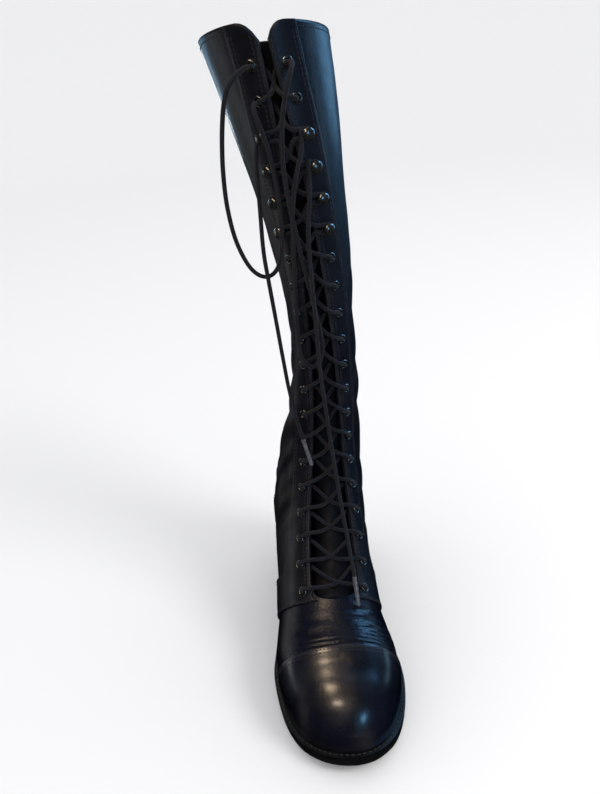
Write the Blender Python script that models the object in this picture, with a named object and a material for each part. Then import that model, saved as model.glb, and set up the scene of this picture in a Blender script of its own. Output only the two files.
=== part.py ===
"""Knee-high lace-up boot for the right foot, built from separate solids.

Frame: metres, +Z up, toe towards -Y, inner (medial) side towards +X.
Origin: the middle of the heel's flat foot, on the floor.
"""

import math
from collections import namedtuple

import bmesh
import bpy
import numpy as np
from mathutils import Vector

MM = 0.001

# Driving dimensions
LENGTH = 241 * MM  # upper, from the back of the heel to the toe tip
BALL_WIDTH = 88 * MM  # upper, across the ball of the foot
SHAFT_HEIGHT = 466 * MM  # floor to the back of the collar
HEEL_HEIGHT = 36 * MM
HEEL_BACK_Y = 34 * MM

# Walls and gaps
WALL = 2.2 * MM
OVERLAY = 1.3 * MM
GAP = 0.3 * MM

# Sole
OUTSOLE_THICK = 6.0 * MM
WELT_THICK = 3.5 * MM
INSOLE_THICK = 3.0 * MM
INSOLE_CLEAR = 1.6 * MM
END_ROUNDING = 14.0 * MM
WELT_LEDGE_TOE = 6.0 * MM
WELT_LEDGE_HEEL = 3.2 * MM
WELT_MARGIN_INSIDE = 12.0 * MM
OUTSOLE_INSET = 0.6 * MM
TOE_SPRING = 8.0 * MM
SPRING_START_Y = -165 * MM
TREAD_BACK_Y = -118 * MM
HEEL_BREAST_Y = -33 * MM
HEEL_TAPER = 2.5 * MM
BREAST_LEAN = 4.0 * MM

# Tongue
TONGUE_FROM, TONGUE_TO = 9, 31.6  # rows of the section table
TONGUE_DROP_ROWS = 1.6
TONGUE_DEPTH = 7.5 * MM
TONGUE_THICK = 2.0 * MM
TONGUE_HALF = 21.0 * MM
TONGUE_SHARE = 0.54
TONGUE_BOW = 0.95
TONGUE_COLUMNS = 2

# Lacing
EYELET_ROWS = 20
HOOK_ROWS = (3, 4, 5, 6)
EYELET_FROM_EDGE = 8.0 * MM
FACING_WIDTH = 20.0 * MM
LOWEST_EYELET_RUN = 10.0 * MM
TOP_EYELET_MARGIN = 17.0 * MM
EYELET_RADIUS = 3.6 * MM
EYELET_HOLE = 2.2 * MM
EYELET_THICK = 1.0 * MM
SEAT_LIFT = 0.6 * MM
HOOK_PROFILE_MM = ((3.4, 0.0), (3.4, 0.9), (1.5, 1.2), (1.5, 5.0), (4.2, 5.2), (3.6, 6.6), (1.8, 7.4))
LACE_RADIUS = 1.5 * MM
AGLET_RADIUS = 1.8 * MM
AGLET_LENGTH = 22 * MM
LACE_TURN = 2.6 * MM
LACE_CLEAR = 0.8 * MM

# The upper's sections from toe tip to collar, one row each.
# base and top: percent of LENGTH forward of the heel's back, for the section's two ends.
# back_rise: height of the base up the back of the shaft, percent of SHAFT_HEIGHT (0: on the sole).
# rise: height of the top, percent of SHAFT_HEIGHT (0: the sole line).
# base_x and top_x: sideways place of the section's two ends, percent of BALL_WIDTH.
# outer and inner, base and side: half widths from there, at the base and at the widest.
# side_at: where the section is widest, from base (0) to top (1). square: how square its top is.
# gap: half the throat's opening, in millimetres.
Section = namedtuple(
    "Section",
    "base back_rise top rise base_x top_x outer_base inner_base outer_side inner_side side_at square gap",
)
SECTIONS = [
    Section(*row)
    for row in (
        (100.0, 0, 100.0, 0.0, 5.7, 5.7, 0.0, 0.0, 0.0, 0.0, 0.30, 2.1, 0),
        (99.6, 0, 99.6, 5.6, 5.7, 5.7, 9.2, 7.3, 9.4, 7.5, 0.30, 2.1, 0),
        (98.5, 0, 98.6, 7.2, 5.7, 5.7, 18.3, 14.4, 18.7, 14.8, 0.30, 2.1, 0),
        (96.0, 0, 96.4, 8.9, 5.7, 5.7, 28.6, 22.5, 29.3, 23.2, 0.30, 2.15, 0),
        (92.8, 0, 93.6, 10.3, 5.5, 5.5, 37.0, 29.5, 38.0, 30.5, 0.30, 2.2, 0),
        (88.0, 0, 89.8, 11.4, 5.0, 5.0, 44.3, 36.1, 45.6, 37.4, 0.30, 2.2, 0),
        (82.0, 0, 85.3, 12.2, 4.3, 4.4, 50.0, 41.4, 51.6, 43.0, 0.30, 2.2, 0),
        (74.2, 0, 79.0, 13.7, 3.4, 3.6, 53.9, 44.8, 55.7, 46.6, 0.30, 2.2, 0),
        (66.2, 0, 73.7, 14.6, 2.3, 2.8, 55.1, 44.5, 57.2, 46.8, 0.30, 2.15, 0),
        (58.3, 0, 69.3, 15.5, 1.4, 2.2, 52.7, 40.5, 55.2, 44.0, 0.30, 2.1, 0),
        (50.8, 0, 65.4, 16.5, 0.8, 2.0, 48.6, 35.5, 52.4, 40.4, 0.30, 2.1, 0),
        (46.5, 0, 62.7, 17.5, 0.4, 2.0, 46.2, 33.4, 52.0, 39.2, 0.30, 2.1, 16),
        (38.9, 0, 58.1, 19.6, 0.0, 2.2, 42.6, 31.1, 51.0, 38.0, 0.30, 2.1, 17.5),
        (27.0, 0, 51.1, 23.5, -0.8, 3.0, 39.4, 30.1, 51.2, 37.4, 0.30, 2.1, 16.5),
        (16.1, 0, 45.0, 27.9, -1.8, 4.4, 37.4, 32.4, 51.4, 37.4, 0.30, 2.1, 15),
        (7.8, 0, 41.1, 31.9, -2.4, 5.8, 32.0, 29.6, 51.2, 37.2, 0.32, 2.1, 13.2),
        (3.1, 0, 38.7, 35.0, -2.8, 6.8, 22.4, 21.4, 50.4, 37.0, 0.34, 2.15, 12),
        (0.8, 0, 37.3, 37.4, -2.9, 7.6, 11.0, 10.6, 49.0, 36.8, 0.35, 2.2, 11.2),
        (0.0, 0, 36.7, 39.5, -2.8, 8.2, 0.0, 0.0, 47.0, 36.4, 0.36, 2.2, 10.6),
        (-1.3, 14.0, 36.3, 41.8, -2.4, 8.8, 0.0, 0.0, 44.4, 35.8, 0.37, 2.25, 10.0),
        (-1.9, 18.9, 36.1, 44.4, -1.6, 9.2, 0.0, 0.0, 40.4, 35.4, 0.38, 2.3, 9.4),
        (-0.8, 24.0, 35.9, 47.3, -0.4, 9.5, 0.0, 0.0, 34.4, 35.0, 0.39, 2.3, 8.9),
        (1.0, 29.2, 35.9, 50.4, 1.2, 9.6, 0.0, 0.0, 29.8, 34.4, 0.40, 2.35, 8.4),
        (2.3, 34.3, 36.0, 53.7, 2.8, 9.4, 0.0, 0.0, 26.0, 33.8, 0.42, 2.4, 8.0),
        (2.3, 39.5, 36.1, 57.2, 4.2, 9.0, 0.0, 0.0, 24.0, 33.6, 0.43, 2.4, 7.6),
        (1.0, 44.8, 36.3, 60.9, 5.0, 8.3, 0.0, 0.0, 23.2, 34.0, 0.43, 2.4, 7.2),
        (-0.8, 50.3, 36.5, 65.0, 5.0, 7.2, 0.0, 0.0, 23.4, 35.2, 0.43, 2.4, 6.8),
        (-3.1, 56.6, 36.7, 69.6, 4.2, 5.6, 0.0, 0.0, 24.8, 36.8, 0.42, 2.4, 6.4),
        (-5.4, 63.4, 37.0, 74.8, 2.4, 3.4, 0.0, 0.0, 27.6, 38.8, 0.41, 2.4, 5.8),
        (-7.4, 70.7, 37.4, 80.4, -0.4, 0.4, 0.0, 0.0, 31.6, 41.2, 0.40, 2.35, 5.0),
        (-8.9, 78.6, 38.0, 86.4, -4.0, -3.4, 0.0, 0.0, 37.4, 44.4, 0.38, 2.3, 4.0),
        (-10.2, 86.9, 38.6, 92.8, -8.2, -8.0, 0.0, 0.0, 43.4, 47.6, 0.36, 2.25, 3.0),
        (-10.9, 95.5, 39.4, 99.2, -13.0, -13.2, 0.0, 0.0, 50.0, 51.0, 0.34, 2.2, 2.4),
    )
]
# Places of the table's rows that the pieces are cut at
CAP_AT = 7  # toe cap seam
THROAT_AT = 10  # bottom of the throat, front edge of the facings' wings
WING_AT = 12  # back edge of the wings
COUNTER_FROM, COUNTER_TO = 13.5, 26
HEEL_END_AT = 18  # from here the section closes at the back
HALVED_FROM, HALVED_TO = 9, 15  # over the arch the rows come twice as close

COLUMNS = 10  # faces from throat to sole on each side
STRIP_COLUMNS = 3  # of which the facing takes these
COUNTER_COLUMNS = 4
# Share of the side that the counter's columns take, at places along the table
COUNTER_EDGE = (
    (0, 0.5), (13.5, 0.06), (14.5, 0.28), (16, 0.40), (19, 0.44), (23, 0.36), (26, 0.27), (32, 0.45),
)
COLLAR_CORNER = (0.42, 0.80, 0.97)  # rounding of the collar at the throat, column by column
OUTER, INNER = -1, 1


def row_places():
    """Where along the table the grid's rows lie."""
    places = list(range(len(SECTIONS)))
    places += [n + 0.5 for n in range(HALVED_FROM, HALVED_TO)]
    return sorted(places)


PLACES = row_places()
CAP_ROW = PLACES.index(CAP_AT)
THROAT_ROW = PLACES.index(THROAT_AT)
WING_ROW = PLACES.index(WING_AT)
COUNTER_ROWS = (PLACES.index(COUNTER_FROM), PLACES.index(COUNTER_TO))
HEEL_END_ROW = PLACES.index(HEEL_END_AT)
COLLAR_ROW = len(PLACES) - 1

# The loose lace: the way of each loop and end, in millimetres (x, y, z), from where it leaves the lacing.
LACE_WAYS_MM = {
    "lace_loop_outer": (
        (-20.4, -61.9, 439.0), (-23.2, -66.2, 438.2), (-28.2, -69.6, 435.0), (-34.0, -69.5, 428.0),
        (-38.0, -66.5, 417.0), (-41.5, -62.5, 400.0), (-44.0, -58.8, 380.0), (-44.6, -56.8, 358.0),
        (-42.0, -56.3, 336.0), (-35.5, -56.3, 318.0), (-27.5, -56.6, 310.3), (-19.5, -57.2, 311.8),
        (-13.6, -59.6, 322.5), (-11.2, -61.6, 340.0), (-10.6, -62.2, 358.0), (-11.6, -62.5, 376.0),
        (-14.0, -66.0, 393.0), (-17.2, -69.8, 406.5), (-19.6, -69.0, 415.0), (-19.3, -64.5, 418.6),
        (-18.2, -60.3, 418.8),
    ),
    "lace_end_outer": (
        (-19.8, -57.8, 400.4), (-22.4, -55.6, 386.0), (-23.8, -54.4, 356.0), (-24.7, -57.0, 328.0),
        (-23.5, -60.4, 308.0), (-21.9, -55.4, 276.6), (-20.3, -52.6, 246.7), (-18.1, -52.6, 216.9),
        (-13.5, -56.9, 187.6), (-6.9, -65.8, 159.6),
    ),
    "lace_loop_inner": (
        (4.4, -62.3, 439.6), (5.6, -66.8, 439.0), (4.6, -71.3, 435.5), (1.6, -73.1, 427.5),
        (-1.6, -71.3, 417.0), (-4.2, -68.8, 403.0), (-5.6, -66.4, 383.0), (-4.6, -64.7, 362.0),
        (-2.0, -63.3, 340.0), (1.2, -61.8, 316.0), (5.0, -60.6, 291.0), (8.6, -59.7, 266.0),
        (8.9, -59.2, 253.0), (6.0, -58.9, 243.5), (0.6, -58.6, 240.0), (-4.8, -58.1, 244.0),
        (-7.3, -57.0, 254.0), (-7.6, -56.6, 268.0), (-6.4, -58.5, 292.0), (-4.9, -61.9, 322.0),
        (-2.8, -64.0, 352.0), (1.4, -66.1, 374.0), (6.0, -65.7, 389.0), (7.5, -61.1, 401.6),
    ),
    "lace_end_inner": (
        (10.3, -60.5, 384.0), (9.0, -64.5, 363.5), (5.8, -64.9, 333.8), (5.7, -65.6, 303.9),
        (5.8, -65.0, 274.0), (5.7, -63.6, 244.1), (7.0, -60.2, 214.2), (8.7, -61.7, 184.4),
        (10.6, -68.4, 155.3), (12.9, -80.2, 128.3), (15.5, -100.5, 106.7), (17.7, -121.6, 85.7),
        (18.3, -128.6, 72.5),
    ),
}
TIPPED = {"lace_end_outer": "aglet_outer", "lace_end_inner": "aglet_inner"}
STEPS_BETWEEN = 2  # points of a cord for each stretch of its way

MATERIALS = {
    # name: colour, roughness, metallic
    "navy_leather": ((0.012, 0.016, 0.032), 0.42, 0.0),
    "sole_rubber": ((0.012, 0.012, 0.014), 0.65, 0.0),
    "welt_leather": ((0.016, 0.015, 0.018), 0.55, 0.0),
    "insole_leather": ((0.10, 0.085, 0.07), 0.8, 0.0),
    "gunmetal": ((0.20, 0.20, 0.19), 0.35, 1.0),
    "lace_cord": ((0.014, 0.015, 0.026), 0.85, 0.0),
    "aglet_plastic": ((0.05, 0.05, 0.055), 0.3, 0.0),
}


def clear_scene():
    for thing in list(bpy.data.objects):
        bpy.data.objects.remove(thing)


def material(name):
    found = bpy.data.materials.get(name)
    if found:
        return found
    made = bpy.data.materials.new(name)
    made.use_nodes = True
    colour, roughness, metallic = MATERIALS[name]
    shader = made.node_tree.nodes["Principled BSDF"]
    shader.inputs["Base Color"].default_value = (*colour, 1)
    shader.inputs["Roughness"].default_value = roughness
    shader.inputs["Metallic"].default_value = metallic
    return made


def collection(name):
    made = bpy.data.collections.new(name)
    bpy.context.scene.collection.children.link(made)
    return made


def add_mesh(name, shape, finish, where):
    """Turns a bmesh into a named object with its faces pointing out."""
    bmesh.ops.recalc_face_normals(shape, faces=shape.faces)
    mesh = bpy.data.meshes.new(name)
    shape.to_mesh(mesh)
    shape.free()
    mesh.shade_smooth()
    mesh.set_sharp_from_angle(angle=math.radians(35))
    made = bpy.data.objects.new(name, mesh)
    made.data.materials.append(material(finish))
    where.objects.link(made)
    return made


def smooth_step(t):
    t = min(max(t, 0.0), 1.0)
    return t * t * (3 - 2 * t)


def along_to_y(percent):
    return HEEL_BACK_Y - LENGTH * percent / 100


def section_at(place):
    """A section between two of the table's rows, on a smooth curve through them."""
    n = min(int(place), len(SECTIONS) - 2)
    t = place - n
    rows = [SECTIONS[min(max(n + k, 0), len(SECTIONS) - 1)] for k in (-1, 0, 1, 2)]
    a, b, c, d = (np.array(row, float) for row in rows)
    mixed = b + 0.5 * t * (c - a + t * (2 * a - 5 * b + 4 * c - d + t * (3 * (b - c) + d - a)))
    row = Section(*mixed)
    gap = max(row.gap, 0) if place > THROAT_AT else 0
    return row._replace(gap=gap, back_rise=max(row.back_rise, 0))


def sole_rise_curve(y):
    """Height of the outsole's underside: toe spring, flat tread, arch and heel seat."""
    if y < SPRING_START_Y:
        reach = (SPRING_START_Y - y) / (SPRING_START_Y - along_to_y(100))
        return TOE_SPRING * reach**2
    return HEEL_HEIGHT * smooth_step((y - TREAD_BACK_Y) / (HEEL_BREAST_Y - TREAD_BACK_Y))


def sole_stations():
    """Places along the foot where every sole layer and the upper's edge have a point."""
    ends = [along_to_y(100) - 12 * MM, HEEL_BREAST_Y, HEEL_BACK_Y + 12 * MM]
    on_sole = [along_to_y(section_at(p).base) for p in PLACES if p <= HEEL_END_AT]
    return np.array(sorted(ends + on_sole))


STATIONS = sole_stations()
STATION_RISE = np.array([sole_rise_curve(y) for y in STATIONS])


def sole_rise(y):
    """The same height, straight between the stations, so that the layers stay apart."""
    return float(np.interp(y, STATIONS, STATION_RISE))


def feather_height(y):
    """Height where the upper meets the welt."""
    return sole_rise(y) + OUTSOLE_THICK + WELT_THICK + 2 * GAP


def section_ends(row):
    """The section's base and top points, as (y, z)."""
    base_y = along_to_y(row.base)
    base_z = max(SHAFT_HEIGHT * row.back_rise / 100, feather_height(base_y))
    top_z = max(SHAFT_HEIGHT * row.rise / 100, feather_height(along_to_y(row.top)))
    return np.array((base_y, base_z)), np.array((along_to_y(row.top), top_z))


def section_middle(row, share):
    """Sideways place of a section's middle, a share of the way from its base to its top."""
    return BALL_WIDTH / 100 * (row.base_x + (row.top_x - row.base_x) * share)


def section_half(row, side, samples=90):
    """Points of one half of a section, from the throat edge or ridge down to its base."""
    base, top = section_ends(row)
    width_unit = BALL_WIDTH / 100
    at_base = width_unit * (row.outer_base if side == OUTER else row.inner_base)
    at_side = width_unit * (row.outer_side if side == OUTER else row.inner_side)
    turn = np.linspace(0, math.pi / 2, samples)
    low_share = row.side_at * (1 - np.cos(turn))
    low_wide = np.sqrt(at_base**2 + (at_side**2 - at_base**2) * np.sin(turn) ** 2)
    high_share = row.side_at + (1 - row.side_at) * np.sin(turn) ** (2 / row.square)
    high_wide = at_side * np.cos(turn) ** (2 / row.square)
    share = np.concatenate([low_share, high_share[1:]])[::-1]
    wide = np.concatenate([low_wide, high_wide[1:]])[::-1]
    edge = row.gap * MM
    if edge > 0:
        cut = np.interp(edge, wide[:samples], share[:samples])
        keep = (wide > edge) | (np.arange(len(wide)) >= samples)
        share = np.concatenate([[cut], share[keep]])
        wide = np.concatenate([[edge], wide[keep]])
    yz = base + share[:, None] * (top - base)
    x = section_middle(row, share) + side * wide
    return np.column_stack([x, yz])


def column_points(place, side):
    """The half section sampled at its columns: the facing's strip, the side, the counter."""
    row = section_at(place)
    counter_share = np.interp(place, *zip(*COUNTER_EDGE))
    line = section_half(row, side)
    run = np.concatenate([[0], np.cumsum(np.linalg.norm(np.diff(line, axis=0), axis=1))])
    strip = min(FACING_WIDTH, 0.3 * run[-1])
    strip_stops = (0, EYELET_FROM_EDGE / FACING_WIDTH * strip, 0.7 * strip, strip)
    back = run[-1] - counter_share * (run[-1] - strip)
    side_stops = np.linspace(strip, back, COLUMNS - STRIP_COLUMNS - COUNTER_COLUMNS + 1)[1:]
    back_stops = np.linspace(back, run[-1], COUNTER_COLUMNS + 1)[1:]
    stops = np.concatenate([strip_stops, side_stops, back_stops])
    return np.column_stack([np.interp(stops, run, line[:, axis]) for axis in range(3)])


def vertex_key(row, side, column):
    """One name for each point of the upper, where the two sides share it."""
    if row == 0:
        return (0, 0, 0)
    if column == 0 and row <= THROAT_ROW:
        return (row, 0, 0)
    if column == COLUMNS and row >= HEEL_END_ROW:
        return (row, 0, COLUMNS)
    return (row, side, column)


class UpperGrid:
    """The upper's outer surface as a grid of sections and columns, with its normals."""

    def __init__(self):
        self.points = {}
        for number, place in enumerate(PLACES):
            for side in (OUTER, INNER):
                for column, point in enumerate(column_points(place, side)):
                    self.points[vertex_key(number, side, column)] = point
        for side in (OUTER, INNER):
            for column, share in enumerate(COLLAR_CORNER):
                below = self.points[vertex_key(COLLAR_ROW - 1, side, column)]
                key = vertex_key(COLLAR_ROW, side, column)
                self.points[key] = below + share * (self.points[key] - below)
        self.normals = self.find_normals()

    def cell(self, row, side, column):
        """The corner keys of one face, in order, without doubles."""
        corners = [
            vertex_key(row, side, column),
            vertex_key(row + 1, side, column),
            vertex_key(row + 1, side, column + 1),
            vertex_key(row, side, column + 1),
        ]
        if side == INNER:
            corners.reverse()
        return list(dict.fromkeys(corners))

    def slanted(self, row, side, column):
        """A face without its upper corner at the front."""
        return [key for key in self.cell(row, side, column) if key != vertex_key(row + 1, side, column)]

    def cells(self, rows, columns, sides=(OUTER, INNER)):
        found = [self.cell(r, s, c) for r in rows for s in sides for c in columns]
        return [corners for corners in found if len(corners) > 2]

    def find_normals(self):
        """Outward normals of the whole surface, averaged over the faces round each point."""
        total = {key: np.zeros(3) for key in self.points}
        for corners in self.cells(range(COLLAR_ROW), range(COLUMNS)):
            p = [self.points[key] for key in corners]
            facing = np.cross(p[1] - p[0], p[2] - p[0]) + np.cross(p[2] - p[0], p[-1] - p[0])
            for key in corners:
                total[key] += facing
        return {key: n / max(np.linalg.norm(n), 1e-12) for key, n in total.items()}

    def on_sole_line(self, key):
        return key[0] == 0 or (key[2] == COLUMNS and key[0] <= HEEL_END_ROW)

    def lifted(self, key, height):
        """A point moved along its normal; along the sole line it stays on the welt."""
        normal = self.normals[key]
        if self.on_sole_line(key):
            normal = normal * (1, 1, 0) / np.linalg.norm(normal[:2])
        moved = self.points[key] + height * normal
        if self.on_sole_line(key):
            moved[2] = max(self.points[key][2], feather_height(moved[1]))
        return moved

    def thirds(self, corners):
        """A face as triangles; one with four corners is cut along its shorter diagonal."""
        if len(corners) == 3:
            return [corners]
        a, b, c, d = corners
        p = [self.points[key] for key in corners]
        if np.linalg.norm(p[2] - p[0]) <= np.linalg.norm(p[3] - p[1]):
            return [(a, b, c), (a, c, d)]
        return [(b, c, d), (b, d, a)]

    def shell(self, cells, low, high):
        """A closed solid between two offsets of some of the surface's faces."""
        shape = bmesh.new()
        keys = list(dict.fromkeys(key for corners in cells for key in corners))
        under = {key: shape.verts.new(self.lifted(key, low)) for key in keys}
        over = {key: shape.verts.new(self.lifted(key, high)) for key in keys}
        uses = {}
        for corners in cells:
            for third in self.thirds(corners):
                shape.faces.new([over[key] for key in third])
                shape.faces.new([under[key] for key in reversed(third)])
            for a, b in zip(corners, corners[1:] + corners[:1]):
                uses.setdefault(frozenset((a, b)), []).append((a, b))
        for pairs in uses.values():
            if len(pairs) == 1:
                a, b = pairs[0]
                shape.faces.new([over[b], over[a], under[a], under[b]])
        return shape


def make_upper(grid, where):
    every = grid.cells(range(COLLAR_ROW), range(COLUMNS))
    add_mesh("upper", grid.shell(every, -WALL, 0), "navy_leather", where)


def make_overlays(grid, where):
    """Toe cap, heel counter and the two eyelet facings, each laid on the upper's own faces."""
    low, high = GAP, GAP + OVERLAY
    cap = grid.cells(range(CAP_ROW), range(COLUMNS))
    add_mesh("toe_cap", grid.shell(cap, low, high), "navy_leather", where)
    back = range(COLUMNS - COUNTER_COLUMNS, COLUMNS)
    top, middle = COUNTER_ROWS[1], back[len(back) // 2]
    counter = grid.cells(range(*COUNTER_ROWS), back)
    counter += grid.cells([top], range(middle, COLUMNS))
    counter += [grid.slanted(top, side, middle - 1) for side in (OUTER, INNER)]
    add_mesh("heel_counter", grid.shell(counter, low, high), "navy_leather", where)
    for name, side in (("facing_outer", OUTER), ("facing_inner", INNER)):
        wing = grid.cells(range(THROAT_ROW, THROAT_ROW + 1), range(1, COLUMNS), (side,))
        wing += grid.cells(range(THROAT_ROW + 1, WING_ROW), range(COLUMNS), (side,))
        strip = grid.cells(range(WING_ROW, COLLAR_ROW), range(STRIP_COLUMNS), (side,))
        add_mesh(name, grid.shell(wing + strip, low, high), "navy_leather", where)


def rising(line):
    """The points of a line that lie one behind the other between its two ends."""
    kept = [line[0]]
    for point in line[1:-1]:
        if kept[-1][1] < point[1] < line[-1][1]:
            kept.append(point)
    return np.array(kept + [line[-1]])


def sole_outline(grid, ledge_toe, ledge_heel):
    """Outline points (outer, inner) from toe to heel, set out from the upper's edge."""
    rows = range(HEEL_END_ROW + 1)
    loop = [grid.points[vertex_key(r, OUTER, COLUMNS)] for r in rows]
    loop += [grid.points[vertex_key(r, INNER, COLUMNS)] for r in reversed(rows)][1:-1]
    loop = np.array(loop)[:, :2]
    run = np.roll(loop, -1, axis=0) - np.roll(loop, 1, axis=0)
    out = np.column_stack([-run[:, 1], run[:, 0]])
    out /= np.linalg.norm(out, axis=1)[:, None]
    toe_share = np.clip((-loop[:, 1] - 40 * MM) / (90 * MM), 0, 1)
    moved = loop + out * (ledge_heel + (ledge_toe - ledge_heel) * toe_share)[:, None]
    outer = moved[: HEEL_END_ROW + 1]
    inner = np.concatenate([moved[:1], moved[HEEL_END_ROW:][::-1]])
    ends = (moved[0, 1], moved[HEEL_END_ROW, 1])
    outer, inner = rising(outer), rising(inner)
    near_end = [y for y in outer[:, 1] if min(y - ends[0], ends[1] - y) < END_ROUNDING]
    places = np.unique(np.concatenate([STATIONS, near_end]))
    places = places[(places > ends[0]) & (places < ends[1])]
    places = places[np.concatenate([[True], np.diff(places) > 0.5 * MM])]
    places = np.concatenate([ends[:1], places, ends[1:]])
    return tuple(
        np.column_stack([np.interp(places, side[:, 1], side[:, 0]), places]) for side in (outer, inner)
    )


def slab(outer, inner, low, high):
    """A sheet between two outlines whose height follows the sole's profile."""
    shape = bmesh.new()
    rings = []
    for lift in (low, high):
        left = [shape.verts.new((x, y, sole_rise(y) + lift)) for x, y in outer]
        right = [left[0]]
        right += [shape.verts.new((x, y, sole_rise(y) + lift)) for x, y in inner[1:-1]]
        right += [left[-1]]
        rings.append((left, right))
    for left, right in rings:
        for i in range(len(left) - 1):
            corners = [left[i], left[i + 1], right[i + 1], right[i]]
            shape.faces.new(list(dict.fromkeys(corners)))
    for one, two in zip(rings[0], rings[1]):
        for i in range(len(one) - 1):
            shape.faces.new([one[i], one[i + 1], two[i + 1], two[i]])
    return shape


def ring_slab(outside, inside, low, high):
    """A slab with a hole through it, both following the sole's profile."""
    hole_ends = inside[0][0, 1], inside[0][-1, 1]
    along_hole = inside[0][:, 1]
    apart = [y for y in outside[0][:, 1] if np.abs(along_hole - y).min() > 0.3 * MM]
    places = np.sort(np.concatenate([apart, along_hole]))
    shape = bmesh.new()
    levels = []
    for lift in (low, high):
        stations = []
        for y in places:
            z = sole_rise(y) + lift
            rim = [np.interp(y, side[:, 1], side[:, 0]) for side in outside]
            hole = [np.interp(y, side[:, 1], side[:, 0]) for side in inside]
            line = [shape.verts.new((rim[0], y, z))]
            if hole_ends[0] - 1e-6 <= y <= hole_ends[1] + 1e-6:
                single = abs(hole[1] - hole[0]) < 0.1 * MM
                line.append(shape.verts.new((hole[0], y, z)))
                line.append(line[-1] if single else shape.verts.new((hole[1], y, z)))
            tip = abs(rim[1] - rim[0]) < 0.1 * MM
            line.append(line[0] if tip else shape.verts.new((rim[1], y, z)))
            stations.append(line)
        levels.append(stations)
    for stations in levels:
        for one, two in zip(stations, stations[1:]):
            if len(one) == 4 and len(two) == 4:
                rings = [[one[0], two[0], two[1], one[1]], [one[2], two[2], two[3], one[3]]]
            else:
                rings = [[*one, *reversed(two)]]
            for ring in rings:
                shape.faces.new(list(dict.fromkeys(ring)))
    for one, two, over_one, over_two in zip(levels[0], levels[0][1:], levels[1], levels[1][1:]):
        both = len(one) == 4 and len(two) == 4
        for n in (0, 1, 2, 3) if both else (0, -1):
            shape.faces.new([one[n], two[n], over_two[n], over_one[n]])
    return shape


def make_sole(grid, where):
    """Outsole, welt, insole and heel block."""
    tread = sole_outline(grid, WELT_LEDGE_TOE - OUTSOLE_INSET, WELT_LEDGE_HEEL - OUTSOLE_INSET)
    add_mesh("outsole", slab(*tread, 0, OUTSOLE_THICK), "sole_rubber", where)
    welt_low = OUTSOLE_THICK + GAP
    ledge = sole_outline(grid, WELT_LEDGE_TOE, WELT_LEDGE_HEEL)
    hole = sole_outline(grid, -WELT_MARGIN_INSIDE, -WELT_MARGIN_INSIDE)
    add_mesh("welt", ring_slab(ledge, hole, welt_low, welt_low + WELT_THICK), "welt_leather", where)
    inside = sole_outline(grid, -WALL - INSOLE_CLEAR, -WALL - INSOLE_CLEAR)
    insole_low = welt_low + WELT_THICK + GAP
    add_mesh("insole", slab(*inside, insole_low, insole_low + INSOLE_THICK), "insole_leather", where)
    make_heel(tread, where)


def make_heel(tread, where):
    """Heel block under the heel seat, tapering to its foot on the floor."""
    outer, inner = tread
    loop = [*outer, *inner[1:-1][::-1]]
    plan = np.array([point for point in loop if point[1] > HEEL_BREAST_Y])
    corners = []
    for side in (outer, inner):
        x = np.interp(-HEEL_BREAST_Y, -side[::-1, 1], side[::-1, 0])
        corners.append((x, HEEL_BREAST_Y))
    plan = np.concatenate([[corners[0]], plan, [corners[1]]])
    middle = plan.mean(axis=0)
    shape = bmesh.new()
    levels = []
    for height, inset in ((HEEL_HEIGHT - GAP, 0.4 * MM), (0.0, HEEL_TAPER)):
        away = plan - middle
        reach = np.linalg.norm(away, axis=1)[:, None]
        placed = middle + away * (1 - inset / reach)
        if height == 0:
            placed[[0, -1], 1] += BREAST_LEAN
        levels.append([shape.verts.new((x, y, height)) for x, y in placed])
    top, foot = levels
    shape.faces.new(top)
    shape.faces.new(foot)
    for i in range(len(top)):
        j = (i + 1) % len(top)
        shape.faces.new([top[i], top[j], foot[j], foot[i]])
    add_mesh("heel", shape, "sole_rubber", where)


def make_tongue(where):
    """A bowed sheet behind the throat, sewn in under the vamp at its lower end."""
    shape = bmesh.new()
    layers = {}
    places = [p for p in PLACES if TONGUE_FROM <= p <= TONGUE_TO] + [TONGUE_TO]
    for place in places:
        row = section_at(place)
        base, top = section_ends(row)
        inward = (base - top) / np.linalg.norm(base - top)
        seated = smooth_step((place - TONGUE_FROM) / TONGUE_DROP_ROWS)
        depth = WALL + GAP + seated * (TONGUE_DEPTH - WALL - GAP)
        half = TONGUE_SHARE * BALL_WIDTH / 100 * min(row.outer_side, row.inner_side)
        half = min(half, TONGUE_HALF)
        for layer, more in (("front", 0), ("back", TONGUE_THICK)):
            for n in range(-TONGUE_COLUMNS, TONGUE_COLUMNS + 1):
                s = n / TONGUE_COLUMNS
                y, z = top + inward * (depth + more + TONGUE_BOW * half * s * s)
                x = section_middle(row, 1) + (half - more * 0.5 * abs(s)) * s
                layers[layer, place, n] = shape.verts.new((x, y, z))
    columns = range(-TONGUE_COLUMNS, TONGUE_COLUMNS)
    for layer in ("front", "back"):
        for p, q in zip(places, places[1:]):
            for n in columns:
                corners = [(p, n), (p, n + 1), (q, n + 1), (q, n)]
                shape.faces.new([layers[(layer, *c)] for c in corners])
    border = [(places[0], n) for n in range(-TONGUE_COLUMNS, TONGUE_COLUMNS + 1)]
    border += [(p, TONGUE_COLUMNS) for p in places[1:]]
    border += [(places[-1], n) for n in range(TONGUE_COLUMNS - 1, -TONGUE_COLUMNS - 1, -1)]
    border += [(p, -TONGUE_COLUMNS) for p in reversed(places[1:-1])]
    for c, d in zip(border, border[1:] + border[:1]):
        corners = [("front", *c), ("front", *d), ("back", *d), ("back", *c)]
        shape.faces.new([layers[corner] for corner in corners])
    add_mesh("tongue", shape, "navy_leather", where)


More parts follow.
